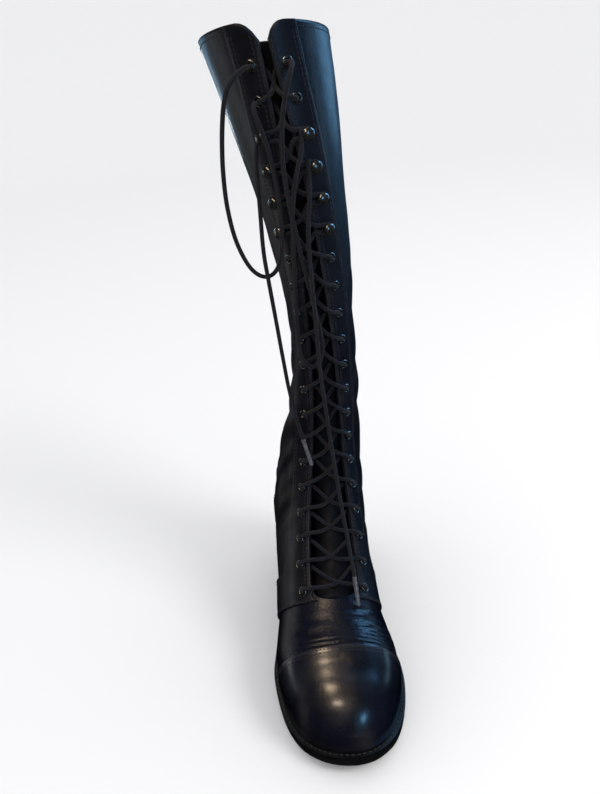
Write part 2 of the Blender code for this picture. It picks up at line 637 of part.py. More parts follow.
def lacing_line(grid, side, column, lift):
    """The polyline of one column of the facing, with its normals, from throat to collar."""
    keys = [vertex_key(r, side, column) for r in range(THROAT_ROW + 1, COLLAR_ROW + 1)]
    return np.array([grid.lifted(k, lift) for k in keys]), np.array([grid.normals[k] for k in keys])


def lacing_runs(grid, side):
    """How far along the eyelet column each lacing row lies, row 1 at the top."""
    line, _ = lacing_line(grid, side, 1, 0)
    length = np.linalg.norm(np.diff(line, axis=0), axis=1).sum()
    runs = np.linspace(LOWEST_EYELET_RUN, length - TOP_EYELET_MARGIN, EYELET_ROWS)
    return {EYELET_ROWS - n: run for n, run in enumerate(runs)}


def lacing_frame(grid, side, run, lift):
    """A place and its normal on the facing, a given run along the eyelet column."""
    line, normals = lacing_line(grid, side, 1, lift)
    level, _ = lacing_line(grid, side, 1, 0)
    runs = np.concatenate([[0], np.cumsum(np.linalg.norm(np.diff(level, axis=0), axis=1))])
    place = np.array([np.interp(run, runs, line[:, axis]) for axis in range(3)])
    normal = np.array([np.interp(run, runs, normals[:, axis]) for axis in range(3)])
    return place, normal / np.linalg.norm(normal)


def spin_profile(name, profile, steps, frame, finish, where):
    """Turns a profile of (radius, height) round its own axis, at a place on the boot."""
    shape = bmesh.new()
    rim = [shape.verts.new((radius, 0, height)) for radius, height in profile]
    edges = [shape.edges.new(pair) for pair in zip(rim, rim[1:])]
    if profile[0][0] > 0 and profile[-1][0] > 0:
        edges.append(shape.edges.new((rim[-1], rim[0])))
    turn = dict(axis=(0, 0, 1), cent=(0, 0, 0), angle=2 * math.pi, steps=steps)
    bmesh.ops.spin(shape, geom=rim + edges, use_merge=True, **turn)
    bmesh.ops.remove_doubles(shape, verts=shape.verts, dist=0.00005)
    place, normal = frame
    turned = Vector(normal).to_track_quat("Z", "Y").to_matrix().to_4x4()
    bmesh.ops.transform(shape, matrix=turned, verts=shape.verts)
    bmesh.ops.translate(shape, vec=Vector(place), verts=shape.verts)
    return add_mesh(name, shape, finish, where)


def make_fastenings(grid, where):
    """Eyelets along the facings and, near the top, domed hooks."""
    ring = ((EYELET_HOLE, 0), (EYELET_RADIUS, 0), (0.5 * (EYELET_HOLE + EYELET_RADIUS), EYELET_THICK))
    dome = [(0, 0)] + [(r * MM, h * MM) for r, h in HOOK_PROFILE_MM] + [(0, HOOK_PROFILE_MM[-1][1] * MM)]
    seat = GAP + OVERLAY + SEAT_LIFT
    for side_name, side in (("outer", OUTER), ("inner", INNER)):
        for number, run in lacing_runs(grid, side).items():
            frame = lacing_frame(grid, side, run, seat)
            if number in HOOK_ROWS:
                spin_profile(f"hook_{side_name}_{number:02d}", dome, 8, frame, "gunmetal", where)
            else:
                spin_profile(f"eyelet_{side_name}_{number:02d}", ring, 8, frame, "gunmetal", where)


def edge_place(grid, side, run, lift):
    """A place over the throat's edge, level with a run along the eyelet column."""
    level, _ = lacing_line(grid, side, 1, 0)
    runs = np.concatenate([[0], np.cumsum(np.linalg.norm(np.diff(level, axis=0), axis=1))])
    line, _ = lacing_line(grid, side, 0, lift)
    return np.array([np.interp(run, runs, line[:, axis]) for axis in range(3)])


def tube(name, path, radius, finish, where, resolution=1):
    """A round cord along a path, closed at both ends."""
    curve = bpy.data.curves.new(name, "CURVE")
    curve.dimensions = "3D"
    curve.bevel_depth = radius
    curve.bevel_resolution = resolution
    curve.use_fill_caps = True
    line = curve.splines.new("POLY")
    line.points.add(len(path) - 1)
    for point, place in zip(line.points, path):
        point.co = (*place, 1)
    holder = bpy.data.objects.new(name, curve)
    bpy.context.scene.collection.objects.link(holder)
    graph = bpy.context.evaluated_depsgraph_get()
    mesh = bpy.data.meshes.new_from_object(holder.evaluated_get(graph))
    bpy.data.objects.remove(holder)
    shape = bmesh.new()
    shape.from_mesh(mesh)
    bmesh.ops.remove_doubles(shape, verts=shape.verts, dist=0.00005)
    return add_mesh(name, shape, finish, where)


def zigzag(grid, first_side):
    """One lace's way over the throat, from side to side and up, resting over the edges."""
    rest = GAP + OVERLAY + GAP + LACE_RADIUS
    path = []
    for number in range(EYELET_ROWS, 0, -1):
        side = first_side if (EYELET_ROWS - number) % 2 == 0 else -first_side
        run = lacing_runs(grid, side)[number]
        tip = edge_place(grid, side, run, rest)
        tip[0] += side * LACE_TURN
        for step, place in ((-1, None), (0, tip), (1, None)):
            if place is None:
                place = edge_place(grid, side, run + step * LACE_TURN, rest + LACE_CLEAR)
            path.append(place)
    return path


def make_laces(grid, where, cutters):
    """The crossings of the lace over the tongue, joined to one solid."""
    one = tube("lace_crossings", zigzag(grid, OUTER), LACE_RADIUS, "lace_cord", where, 0)
    other_path = zigzag(grid, INNER)
    other = tube("lace_other_way", other_path, LACE_RADIUS, "lace_cord", cutters, 0)
    other.hide_render = True
    other.display_type = "WIRE"
    join = one.modifiers.new("join", "BOOLEAN")
    join.operation = "UNION"
    join.solver = "EXACT"
    join.object = other


def smooth_way(points, steps):
    """A curve through the points, a few steps to each stretch."""
    rows = np.array(points, float)
    rows = np.vstack([2 * rows[0] - rows[1], rows, 2 * rows[-1] - rows[-2]])
    way = []
    for n in range(1, len(rows) - 2):
        a, b, c, d = rows[n - 1 : n + 3]
        for t in np.arange(steps) / steps:
            way.append(b + 0.5 * t * (c - a + t * (2 * a - 5 * b + 4 * c - d + t * (3 * (b - c) + d - a))))
    return np.array(way + [rows[-2]])


def make_loose_lace(where):
    """The lace's loops and its two free ends, each end with its tip."""
    for name, points in LACE_WAYS_MM.items():
        way = smooth_way(points, STEPS_BETWEEN) * MM
        if name in TIPPED:
            left = np.linalg.norm(way - way[-1], axis=1)
            way, end = way[left > AGLET_LENGTH + 4 * GAP], way[-1]
            along = (end - way[-1]) / np.linalg.norm(end - way[-1])
            foot = end - along * AGLET_LENGTH
            way = np.vstack([way, foot - along * GAP])
            tube(TIPPED[name], [foot, end], AGLET_RADIUS, "aglet_plastic", where, 2)
        tube(name, way, LACE_RADIUS, "lace_cord", where, 2)


def main():
    clear_scene()
    boot = collection("lace_up_boot")
    cutters = collection("cutters")
    grid = UpperGrid()
    make_upper(grid, boot)
    make_overlays(grid, boot)
    make_sole(grid, boot)
    make_tongue(boot)
    make_fastenings(grid, boot)
    make_laces(grid, boot, cutters)
    make_loose_lace(boot)


main()
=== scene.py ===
import math

import bpy
import numpy as np
from mathutils import Matrix, Vector


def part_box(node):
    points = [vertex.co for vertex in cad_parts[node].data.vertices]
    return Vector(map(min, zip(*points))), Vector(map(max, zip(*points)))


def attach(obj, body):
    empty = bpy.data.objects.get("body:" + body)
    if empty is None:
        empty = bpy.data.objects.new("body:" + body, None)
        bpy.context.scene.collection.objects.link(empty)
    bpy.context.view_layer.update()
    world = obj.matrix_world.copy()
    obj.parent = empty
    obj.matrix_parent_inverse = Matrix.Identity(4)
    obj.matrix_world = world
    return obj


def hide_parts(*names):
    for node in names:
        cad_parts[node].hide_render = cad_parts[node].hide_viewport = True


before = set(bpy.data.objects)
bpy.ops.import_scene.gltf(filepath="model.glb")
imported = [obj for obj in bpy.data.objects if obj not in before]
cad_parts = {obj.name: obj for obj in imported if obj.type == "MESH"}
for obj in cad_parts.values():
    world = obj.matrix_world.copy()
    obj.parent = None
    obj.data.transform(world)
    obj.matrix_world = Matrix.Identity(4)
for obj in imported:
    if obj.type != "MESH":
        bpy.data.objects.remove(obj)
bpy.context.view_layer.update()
bpy.ops.object.select_all(action="DESELECT")
mm = 0.001
tiny = 1e-9  # keeps a divisor from being zero
outer, inner = -1, 1  # sides of the right boot: outer is towards -X
sides = (outer, inner)
sideName = {outer: "outer", inner: "inner"}

# sizes in millimetres, the same as the solids; seams lie at places, counted in sections from the toe
boot = {
    "length": 241, "ballWidth": 88, "shaftHeight": 466, "heelHeight": 36, "heelBack": 34,
    "wall": 2.2, "overlay": 1.6, "outsole": 6.0, "welt": 3.5, "insole": 3.0, "gap": 0.3,
    "ledgeToe": 6.0, "ledgeHeel": 3.2, "toeSpring": 8.0, "springStart": -165, "treadBack": -118,
    "heelBreast": -33,
}
seams = {"cap": 7.0, "throat": 10.0, "wing": 12.0, "counterLow": 13.5, "counterTop": 26.0, "heelEnd": 18.0}

# sections from toe tip to collar, one row each, percent of length, shaft height and ball width
sectionNames = ("base", "backRise", "top", "rise", "baseX", "topX", "outerBase", "innerBase",
                "outerSide", "innerSide", "sideAt", "square", "gap")
sectionRows = np.array((
    (100.0, 0, 100.0, 0.0, 5.7, 5.7, 0.0, 0.0, 0.0, 0.0, 0.30, 2.1, 0),
    (99.6, 0, 99.6, 5.6, 5.7, 5.7, 9.2, 7.3, 9.4, 7.5, 0.30, 2.1, 0),
    (98.5, 0, 98.6, 7.2, 5.7, 5.7, 18.3, 14.4, 18.7, 14.8, 0.30, 2.1, 0),
    (96.0, 0, 96.4, 8.9, 5.7, 5.7, 28.6, 22.5, 29.3, 23.2, 0.30, 2.15, 0),
    (92.8, 0, 93.6, 10.3, 5.5, 5.5, 37.0, 29.5, 38.0, 30.5, 0.30, 2.2, 0),
    (88.0, 0, 89.8, 11.4, 5.0, 5.0, 44.3, 36.1, 45.6, 37.4, 0.30, 2.2, 0),
    (82.0, 0, 85.3, 12.2, 4.3, 4.4, 50.0, 41.4, 51.6, 43.0, 0.30, 2.2, 0),
    (74.2, 0, 79.0, 13.7, 3.4, 3.6, 53.9, 44.8, 55.7, 46.6, 0.30, 2.2, 0),
    (66.2, 0, 73.7, 14.6, 2.3, 2.8, 55.1, 44.5, 57.2, 46.8, 0.30, 2.15, 0),
    (58.3, 0, 69.3, 15.5, 1.4, 2.2, 52.7, 40.5, 55.2, 44.0, 0.30, 2.1, 0),
    (50.8, 0, 65.4, 16.5, 0.8, 2.0, 48.6, 35.5, 52.4, 40.4, 0.30, 2.1, 0),
    (46.5, 0, 62.7, 17.5, 0.4, 2.0, 46.2, 33.4, 52.0, 39.2, 0.30, 2.1, 16),
    (38.9, 0, 58.1, 19.6, 0.0, 2.2, 42.6, 31.1, 51.0, 38.0, 0.30, 2.1, 17.5),
    (27.0, 0, 51.1, 23.5, -0.8, 3.0, 39.4, 30.1, 51.2, 37.4, 0.30, 2.1, 16.5),
    (16.1, 0, 45.0, 27.9, -1.8, 4.4, 37.4, 32.4, 51.4, 37.4, 0.30, 2.1, 15),
    (7.8, 0, 41.1, 31.9, -2.4, 5.8, 32.0, 29.6, 51.2, 37.2, 0.32, 2.1, 13.2),
    (3.1, 0, 38.7, 35.0, -2.8, 6.8, 22.4, 21.4, 50.4, 37.0, 0.34, 2.15, 12),
    (0.8, 0, 37.3, 37.4, -2.9, 7.6, 11.0, 10.6, 49.0, 36.8, 0.35, 2.2, 11.2),
    (0.0, 0, 36.7, 39.5, -2.8, 8.2, 0.0, 0.0, 47.0, 36.4, 0.36, 2.2, 10.6),
    (-1.3, 14.0, 36.3, 41.8, -2.4, 8.8, 0.0, 0.0, 44.4, 35.8, 0.37, 2.25, 10.0),
    (-1.9, 18.9, 36.1, 44.4, -1.6, 9.2, 0.0, 0.0, 40.4, 35.4, 0.38, 2.3, 9.4),
    (-0.8, 24.0, 35.9, 47.3, -0.4, 9.5, 0.0, 0.0, 34.4, 35.0, 0.39, 2.3, 8.9),
    (1.0, 29.2, 35.9, 50.4, 1.2, 9.6, 0.0, 0.0, 29.8, 34.4, 0.40, 2.35, 8.4),
    (2.3, 34.3, 36.0, 53.7, 2.8, 9.4, 0.0, 0.0, 26.0, 33.8, 0.42, 2.4, 8.0),
    (2.3, 39.5, 36.1, 57.2, 4.2, 9.0, 0.0, 0.0, 24.0, 33.6, 0.43, 2.4, 7.6),
    (1.0, 44.8, 36.3, 60.9, 5.0, 8.3, 0.0, 0.0, 23.2, 34.0, 0.43, 2.4, 7.2),
    (-0.8, 50.3, 36.5, 65.0, 5.0, 7.2, 0.0, 0.0, 23.4, 35.2, 0.43, 2.4, 6.8),
    (-3.1, 56.6, 36.7, 69.6, 4.2, 5.6, 0.0, 0.0, 24.8, 36.8, 0.42, 2.4, 6.4),
    (-5.4, 63.4, 37.0, 74.8, 2.4, 3.4, 0.0, 0.0, 27.6, 38.8, 0.41, 2.4, 5.8),
    (-7.4, 70.7, 37.4, 80.4, -0.4, 0.4, 0.0, 0.0, 31.6, 41.2, 0.40, 2.35, 5.0),
    (-8.9, 78.6, 38.0, 86.4, -4.0, -3.4, 0.0, 0.0, 37.4, 44.4, 0.38, 2.3, 4.0),
    (-10.2, 86.9, 38.6, 92.8, -8.2, -8.0, 0.0, 0.0, 43.4, 47.6, 0.36, 2.25, 3.0),
    (-10.9, 95.5, 39.4, 99.2, -13.0, -13.2, 0.0, 0.0, 50.0, 51.0, 0.34, 2.2, 2.4),
))
lastPlace = len(sectionRows) - 1


def smoothStep(t):
    t = np.clip(t, 0.0, 1.0)
    return t * t * (3 - 2 * t)


def unit(vectors):  # each vector at length one
    return vectors / np.maximum(np.linalg.norm(vectors, axis=-1, keepdims=True), tiny)


def runAlong(line):  # length from a line's start to each of its points
    return np.concatenate([[0], np.cumsum(np.linalg.norm(np.diff(line, axis=0), axis=1))])


def pointsAt(stops, run, line):  # where a line is after given lengths
    return np.column_stack([np.interp(stops, run, line[:, k]) for k in range(3)])


def curveThrough(rows, place):  # a smooth curve through a table's rows
    n = min(int(place), len(rows) - 2)
    t = place - n
    a, b, c, d = (rows[min(max(n + k, 0), len(rows) - 1)] for k in (-1, 0, 1, 2))
    return b + 0.5 * t * (c - a + t * (2 * a - 5 * b + 4 * c - d + t * (3 * (b - c) + d - a)))


def sectionAt(place):
    row = dict(zip(sectionNames, curveThrough(sectionRows, place)))
    row["gap"] = max(row["gap"], 0) if place > seams["throat"] else 0
    begun = place - seams["throat"]
    if 0 < begun < 1:  # the throat's bottom is round
        row["gap"] = sectionRows[int(seams["throat"]) + 1][-1] * math.sqrt(1 - (1 - begun) ** 2)
    row["backRise"] = max(row["backRise"], 0)
    return row


def alongToY(percent):
    return boot["heelBack"] - boot["length"] * percent / 100


def soleRise(y):  # toe spring, flat tread, arch and heel seat
    y = np.asarray(y, float)
    reach = np.clip((boot["springStart"] - y) / (boot["springStart"] - alongToY(100)), 0, None)
    arch = smoothStep((y - boot["treadBack"]) / (boot["heelBreast"] - boot["treadBack"]))
    return boot["toeSpring"] * reach**2 + boot["heelHeight"] * arch


def featherHeight(y):  # where the upper meets the welt
    return soleRise(y) + boot["outsole"] + boot["welt"] + 2 * boot["gap"]


def sectionEnds(row):  # (y, z) at the sole or the back, then at the ridge or the throat
    ends = []
    for along, rise in (("base", "backRise"), ("top", "rise")):
        y = alongToY(row[along])
        ends.append(np.array((y, max(boot["shaftHeight"] * row[rise] / 100, float(featherHeight(y))))))
    return ends


def sectionMiddle(row, share):
    return boot["ballWidth"] / 100 * (row["baseX"] + (row["topX"] - row["baseX"]) * share)


def sectionHalf(row, side, samples=120):  # from the throat edge down to the sole
    base, top = sectionEnds(row)
    atBase, atSide = (boot["ballWidth"] / 100 * row[sideName[side] + end] for end in ("Base", "Side"))
    turn = np.linspace(0, math.pi / 2, samples)
    lowShare = row["sideAt"] * (1 - np.cos(turn))
    lowWide = np.sqrt(np.maximum(atBase**2 + (atSide**2 - atBase**2) * np.sin(turn) ** 2, 0))
    highShare = row["sideAt"] + (1 - row["sideAt"]) * np.sin(turn) ** (2 / row["square"])
    highWide = atSide * np.cos(turn) ** (2 / row["square"])
    share = np.concatenate([lowShare, highShare[1:]])[::-1]
    wide = np.concatenate([lowWide, highWide[1:]])[::-1]
    if row["gap"] > 0:
        cut = np.interp(row["gap"], wide[:samples], share[:samples])
        keep = (wide > row["gap"]) | (np.arange(len(wide)) >= samples)  # the throat cuts the top alone
        share = np.concatenate([[cut], share[keep]])
        wide = np.concatenate([[row["gap"]], wide[keep]])
    yz = base + share[:, None] * (top - base)
    return np.column_stack([sectionMiddle(row, share) + side * wide, yz])


# the skin: the upper's outer surface as a fine grid of places and shares, one for each side
skin = {"rowStep": 0.1, "fineStep": 0.05, "fineFrom": 6.0, "fineTo": 10.0, "columns": 52,
        "collarRound": 14.0, "collarDrop": 0.42, "inside": 1e-4, "sparse": 6, "batch": 2000}
places = np.concatenate([
    np.arange(0, skin["fineFrom"] - 0.001, skin["rowStep"]),
    np.arange(skin["fineFrom"], skin["fineTo"] - 0.001, skin["fineStep"]),  # the vamp creases finely
    np.linspace(skin["fineTo"], lastPlace, int(round((lastPlace - skin["fineTo"]) / skin["rowStep"])) + 1),
])
shares = np.linspace(0, 1, skin["columns"] + 1)
skinPoints, skinNormals, skinRuns, skinPush = {}, {}, {}, {}


def rowOf(place):
    return int(np.abs(places - place).argmin())


def layOutSkin():
    for side in sides:
        lines = [sectionHalf(sectionAt(place), side) for place in places]
        runs = [runAlong(line) for line in lines]
        skinPoints[side] = np.array([pointsAt(shares * run[-1], run, line) for run, line in zip(runs, lines)])
        skinRuns[side] = np.array([run[-1] for run in runs])
        roundCollar(side)


def roundCollar(side):  # the collar's corner at the throat is cut round
    grid = skinPoints[side].copy()
    first = rowOf(lastPlace - 1)
    for column, share in enumerate(shares):
        away = share * skinRuns[side][-1] / skin["collarRound"]
        keep = 1 - skin["collarDrop"] * max(0.0, 1 - away) ** 2
        at = places[first] + (places[first:] - places[first]) * keep
        skinPoints[side][first:, column] = pointsAt(at, places, grid[:, column])


def findNormals():
    throatRow, heelRow = rowOf(seams["throat"]), rowOf(seams["heelEnd"])
    for side in sides:
        grid = skinPoints[side]
        across = np.cross(np.gradient(grid, places, axis=0), np.gradient(grid, axis=1))
        skinNormals[side] = unit(across * -side)
        skinNormals[side][0] = (0, -1, 0)
    for rows, column in ((slice(0, throatRow + 1), 0), (slice(heelRow, None), -1)):  # where the sides meet
        shared = unit(skinNormals[outer][rows, column] + skinNormals[inner][rows, column])
        for side in sides:
            skinNormals[side][rows, column] = shared


def sample(field, place, share):
    place, share = np.broadcast_arrays(np.asarray(place, float), np.asarray(share, float))
    r = np.interp(place, places, np.arange(len(places)))
    r = np.clip(r, 0, len(places) - 1 - skin["inside"])
    c = np.clip(share * skin["columns"], 0, skin["columns"] - skin["inside"])
    r0, c0 = r.astype(int), c.astype(int)
    fr, fc = (r - r0)[..., None], (c - c0)[..., None]
    low = field[r0, c0] * (1 - fc) + field[r0, c0 + 1] * fc
    high = field[r0 + 1, c0] * (1 - fc) + field[r0 + 1, c0 + 1] * fc
    return low * (1 - fr) + high * fr


def normalAt(place, side, share):
    return unit(sample(skinNormals[side], place, share))


def onSkin(place, side, share, lift=0.0):
    return sample(skinPoints[side], place, share) + lift * normalAt(place, side, share)


def runAt(place, side):  # length of a section's side, throat edge to sole or back
    return np.interp(place, places, skinRuns[side])


def shareOf(place, side, distance):  # a distance in from the throat edge, as a share of the side
    return np.asarray(distance, float) / runAt(place, side)


# soft troughs (deep > 0) and ridges (deep < 0): side, half width, depth, then (place, share) along the line
creases = (
    # behind the toe cap, where the foot bends
    (inner, 1.1, 0.50, ((7.13, -0.3), (7.14, 0.1), (7.16, 0.40), (7.17, 0.68))),
    (outer, 1.1, 0.35, ((7.14, 0.0), (7.16, 0.2), (7.22, 0.5))),
    (inner, 1.1, 0.60, ((7.33, 0.16), (7.36, 0.38), (7.38, 0.66))),
    (outer, 1.1, 0.25, ((7.36, 0.02), (7.38, 0.14), (7.43, 0.32))),
    (inner, 1.2, 0.60, ((7.54, 0.22), (7.57, 0.42), (7.62, 0.70))),
    (inner, 1.3, 0.50, ((7.78, 0.26), (7.81, 0.44), (7.88, 0.66))),
    (inner, 1.6, 0.45, ((8.05, 0.20), (8.12, 0.42), (8.25, 0.70))),
    (inner, 2.0, 0.40, ((8.50, 0.14), (8.62, 0.40), (8.85, 0.64))),
    (outer, 2.2, 0.22, ((7.85, 0.18), (7.95, 0.40), (8.22, 0.66))),
    (outer, 2.6, 0.25, ((8.65, 0.08), (8.82, 0.30), (9.2, 0.56))),
    (inner, 1.8, 0.40, ((9.15, 0.06), (9.25, 0.22), (9.55, 0.40))),
    # the cap is pressed in a little in front of its seam
    (outer, 4.2, 0.34, ((6.44, -0.25), (6.44, 0.12), (6.50, 0.42))),
    # round the ankle, where the shaft folds over the instep
    (outer, 5.0, 1.3, ((14.2, 0.18), (14.0, 0.36), (13.4, 0.6))),
    (inner, 5.0, 1.4, ((14.2, 0.18), (14.0, 0.36), (13.5, 0.62))),
    (outer, 5.5, 1.4, ((16.6, 0.16), (16.2, 0.34), (15.4, 0.52))),
    (inner, 5.0, 1.3, ((16.4, 0.16), (15.9, 0.34), (15.2, 0.54))),
    (outer, 6.0, 1.6, ((19.2, 0.2), (19.0, 0.4), (18.4, 0.62))),
    (inner, 6.0, 1.5, ((19.0, 0.2), (18.6, 0.38), (18.0, 0.6))),
    (outer, 6.0, 1.5, ((21.3, 0.24), (21.3, 0.46), (20.9, 0.72))),
    (inner, 6.0, 1.5, ((21.6, 0.2), (21.4, 0.44), (21.0, 0.74))),
    # slack shaft
    (outer, 7.0, -1.5, ((31.8, 0.3), (29.5, 0.3), (27.0, 0.32), (24.5, 0.34))),
    (outer, 9.0, 1.6, ((31.6, 0.52), (29.6, 0.47), (27.4, 0.46))),
    (outer, 7.0, 1.5, ((25.6, 0.3), (25.0, 0.5), (24.8, 0.74))),
    (inner, 8.0, 1.4, ((26.2, 0.26), (25.4, 0.5), (25.0, 0.76))),
    (inner, 9.0, 1.5, ((30.8, 0.42), (29.0, 0.46), (27.2, 0.42))),
    (outer, 6.0, 1.2, ((23.4, 0.28), (23.2, 0.5), (22.8, 0.8))),
    (inner, 6.0, 1.2, ((23.8, 0.3), (23.4, 0.54), (23.2, 0.8))),
    (outer, 8.0, -1.4, ((19.5, 0.4), (17.0, 0.36), (14.5, 0.4))),
    (inner, 7.0, 1.2, ((28.2, 0.6), (27.2, 0.74), (26.8, 0.9))),
    (outer, 7.0, 1.2, ((28.6, 0.62), (27.8, 0.76), (27.4, 0.92))),
)
fold = {"steps": 40, "reach": 30, "lip": 0.42, "lipAt": 1.9, "soleFade": 9.0}
slack = {"from": 12, "run": 8, "deep": 0.55, "soleFade": 30.0}
wrinkle = {"from": 7.05, "rise": 0.3, "to": 9.4, "fall": 1.6, "shareTo": 0.72, "shareFall": 0.3,
           "deep": 0.04, "innerDeep": 0.06, "innerRise": 0.25}


def pressCreases():
    for side in sides:
        skinPush[side] = np.zeros(skinPoints[side].shape[:2])
    for pressed, wide, deep, knots in creases:
        steps = np.linspace(0, len(knots) - 1, fold["steps"])
        line = np.array([curveThrough(np.array(knots), s) for s in steps])
        track = onSkin(line[:, 0], pressed, line[:, 1])
        fade = np.sin(np.linspace(0.05, 0.95, len(steps)) * math.pi) ** 0.8  # shallow at both ends
        for side in sides:
            cloud = skinPoints[side].reshape(-1, 3)
            reached = (cloud > track.min(0) - fold["reach"]) & (cloud < track.max(0) + fold["reach"])
            near = np.where(reached.all(axis=1))[0]
            if not len(near):
                continue
            apart = np.linalg.norm(cloud[near][:, None] - track[None], axis=2)
            x = apart.min(axis=1) / wide
            shape = -np.exp(-x * x) + fold["lip"] * np.exp(-1.1 * (x - fold["lipAt"]) ** 2)
            skinPush[side].reshape(-1)[near] += deep * shape * fade[apart.argmin(axis=1)]


def ruffle(side):  # the shaft is slack, the foot is lasted and wrinkles finely over its bend
    x, y, z = np.moveaxis(skinPoints[side], 2, 0)
    toSole = (1 - shares)[None, :] * skinRuns[side][:, None]
    onSole = (places <= seams["heelEnd"])[:, None]
    held, eased = (np.where(onSole, smoothStep(toSole / kind["soleFade"]), 1.0) for kind in (fold, slack))
    loose = smoothStep((places - slack["from"]) / slack["run"])[:, None]
    waves = np.sin(z / 23 + y / 31) * np.sin(y / 17 - z / 47 + 1.3)  # long waves that cross
    bend = smoothStep((places - wrinkle["from"]) / wrinkle["rise"])
    bend = bend * smoothStep((wrinkle["to"] - places) / wrinkle["fall"])
    spread = smoothStep((wrinkle["shareTo"] - shares) / wrinkle["shareFall"])
    fine = np.sin(y * 2.3 + 1.9 * np.sin(x / 5.3) + 1.2 * np.sin(x / 2.1 + y / 7))  # wavering, about 3 mm apart
    patchy = 0.5 + 0.5 * np.sin(x / 6.7 + 1.1) * np.sin(y / 5.1)
    bent = wrinkle["deep"]
    if side == inner:  # the inner side folds more
        bent = bent + wrinkle["innerDeep"] * smoothStep(shares / wrinkle["innerRise"])
    skinPush[side] = skinPush[side] * held + loose * slack["deep"] * waves * eased
    skinPush[side] += bent * bend[:, None] * spread[None, :] * fine * patchy
    skinPoints[side] = skinPoints[side] + skinPush[side][..., None] * skinNormals[side]


layOutSkin()
findNormals()
pressCreases()
for side in sides:
    ruffle(side)
findNormals()
print("skin laid out:", len(places), "sections")

# steps for editAll, each an operator and its words
selectAll = (bpy.ops.mesh.select_all, {"action": "SELECT"})
selectNone = (bpy.ops.mesh.select_all, {"action": "DESELECT"})
selectOpenEdges = (
    (bpy.ops.mesh.select_mode, {"type": "EDGE"}), selectNone, (bpy.ops.mesh.select_non_manifold, {}),
)
fillHoles = (bpy.ops.mesh.fill_holes, {"sides": 0})
faceOut = (bpy.ops.mesh.normals_make_consistent, {"inside": False})


def activate(piece):
    bpy.ops.object.select_all(action="DESELECT")
    piece.select_set(True)
    bpy.context.view_layer.objects.active = piece


def editAll(piece, *steps):  # runs edit-mode steps, at first with everything selected
    activate(piece)
    bpy.ops.object.mode_set(mode="EDIT")
    for step, words in (selectAll, *steps):
        step(**words)
    bpy.ops.object.mode_set(mode="OBJECT")


def joinPieces(first, second, name):
    activate(first)
    second.select_set(True)
    bpy.ops.object.join()
    first.name = name
    return first


def applyModifier(piece, kind, **settings):
    activate(piece)
    modifier = piece.modifiers.new(kind.lower(), kind)
    for name, value in settings.items():
        setattr(modifier, name, value)
    bpy.ops.object.modifier_apply(modifier=modifier.name)


def roundEdges(piece, width):
    applyModifier(piece, "BEVEL", width=width * mm, segments=2, limit_method="ANGLE",
                  angle_limit=math.radians(50))


def sheetFromGrid(name, grid, finish, dropFaces=None):
    rows, columns = grid.shape[:2]
    bpy.ops.object.select_all(action="DESELECT")
    bpy.ops.mesh.primitive_grid_add(x_subdivisions=columns - 1, y_subdivisions=rows - 1, size=1)
    piece = bpy.context.object
    piece.name = piece.data.name = name
    piece.data.vertices.foreach_set("co", (grid * mm).reshape(-1))
    piece.data.update()
    piece.data.materials.append(finish)
    if dropFaces is not None:  # faces by (row, column) that the piece doesn't have
        editAll(piece, (bpy.ops.mesh.select_mode, {"type": "FACE"}), selectNone)
        piece.data.polygons.foreach_set("select", dropFaces.reshape(-1))
        bpy.ops.object.mode_set(mode="EDIT")
        bpy.ops.mesh.delete(type="FACE")
        bpy.ops.object.mode_set(mode="OBJECT")
    return piece


def mergeDoubles(piece, apart=0.02, *steps):
    editAll(piece, (bpy.ops.mesh.remove_doubles, {"threshold": apart * mm}), *steps)


def faceOutwards(piece, outwards):  # turns the whole sheet over if its faces look inwards
    faces = piece.data.polygons
    centre, facing = np.zeros(len(faces) * 3), np.zeros(len(faces) * 3)
    faces.foreach_get("center", centre)
    faces.foreach_get("normal", facing)
    if (facing.reshape(-1, 3) * outwards(centre.reshape(-1, 3) / mm)).sum() < 0:
        editAll(piece, (bpy.ops.mesh.flip_normals, {}))


def awayFromSkin(points):  # outward direction of the upper at the nearest grid point
    step, batch = skin["sparse"], skin["batch"]
    spots, normals = (np.concatenate([field[side][::step, ::step].reshape(-1, 3) for side in sides])
                      for field in (skinPoints, skinNormals))
    found = np.zeros_like(points)
    for start in range(0, len(points), batch):
        apart = ((points[start : start + batch, None] - spots[None]) ** 2).sum(axis=2)
        found[start : start + batch] = normals[apart.argmin(axis=1)]
    return found


def paint(piece, name, values):  # a value per vertex for the material
    layer = piece.data.attributes.new(name, "FLOAT", "POINT")
    layer.data.foreach_set("value", np.asarray(values, float).reshape(-1))


def finishPiece(piece, slot, *nodes):
    activate(piece)
    bpy.ops.object.shade_smooth()
    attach(piece, "root")
    if nodes:
        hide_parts(*nodes)


# finishes: small node graphs
def newMaterial(name):
    made = bpy.data.materials.new(name)
    made.use_nodes = True
    nodes = made.node_tree.nodes
    return made, nodes, nodes["Principled BSDF"]


def feed(socket, value):  # a constant, or another node's output
    if isinstance(value, bpy.types.NodeSocket):
        socket.id_data.links.new(value, socket)
    else:
        socket.default_value = value


def feedShader(shader, values):
    for name, value in values.items():
        feed(shader.inputs[name], value)


def addNode(nodes, kind, *values, **settings):  # inputs in order, then settings and inputs by name
    node = nodes.new(kind)
    for name, value in settings.items():
        if name in node.inputs:
            feed(node.inputs[name], value)
        else:
            setattr(node, name, value)
    for socket, value in zip(node.inputs, values):
        feed(socket, value)
    return node


def maths(nodes, operation, *values):
    return addNode(nodes, "ShaderNodeMath", *values, operation=operation).outputs[0]


def noise(nodes, place, scale, detail, rough=0.5):
    return addNode(nodes, "ShaderNodeTexNoise", Vector=place, Scale=scale, Detail=detail,
                   Roughness=rough).outputs["Fac"]


def attribute(nodes, name):
    return addNode(nodes, "ShaderNodeAttribute", attribute_name=name).outputs["Fac"]


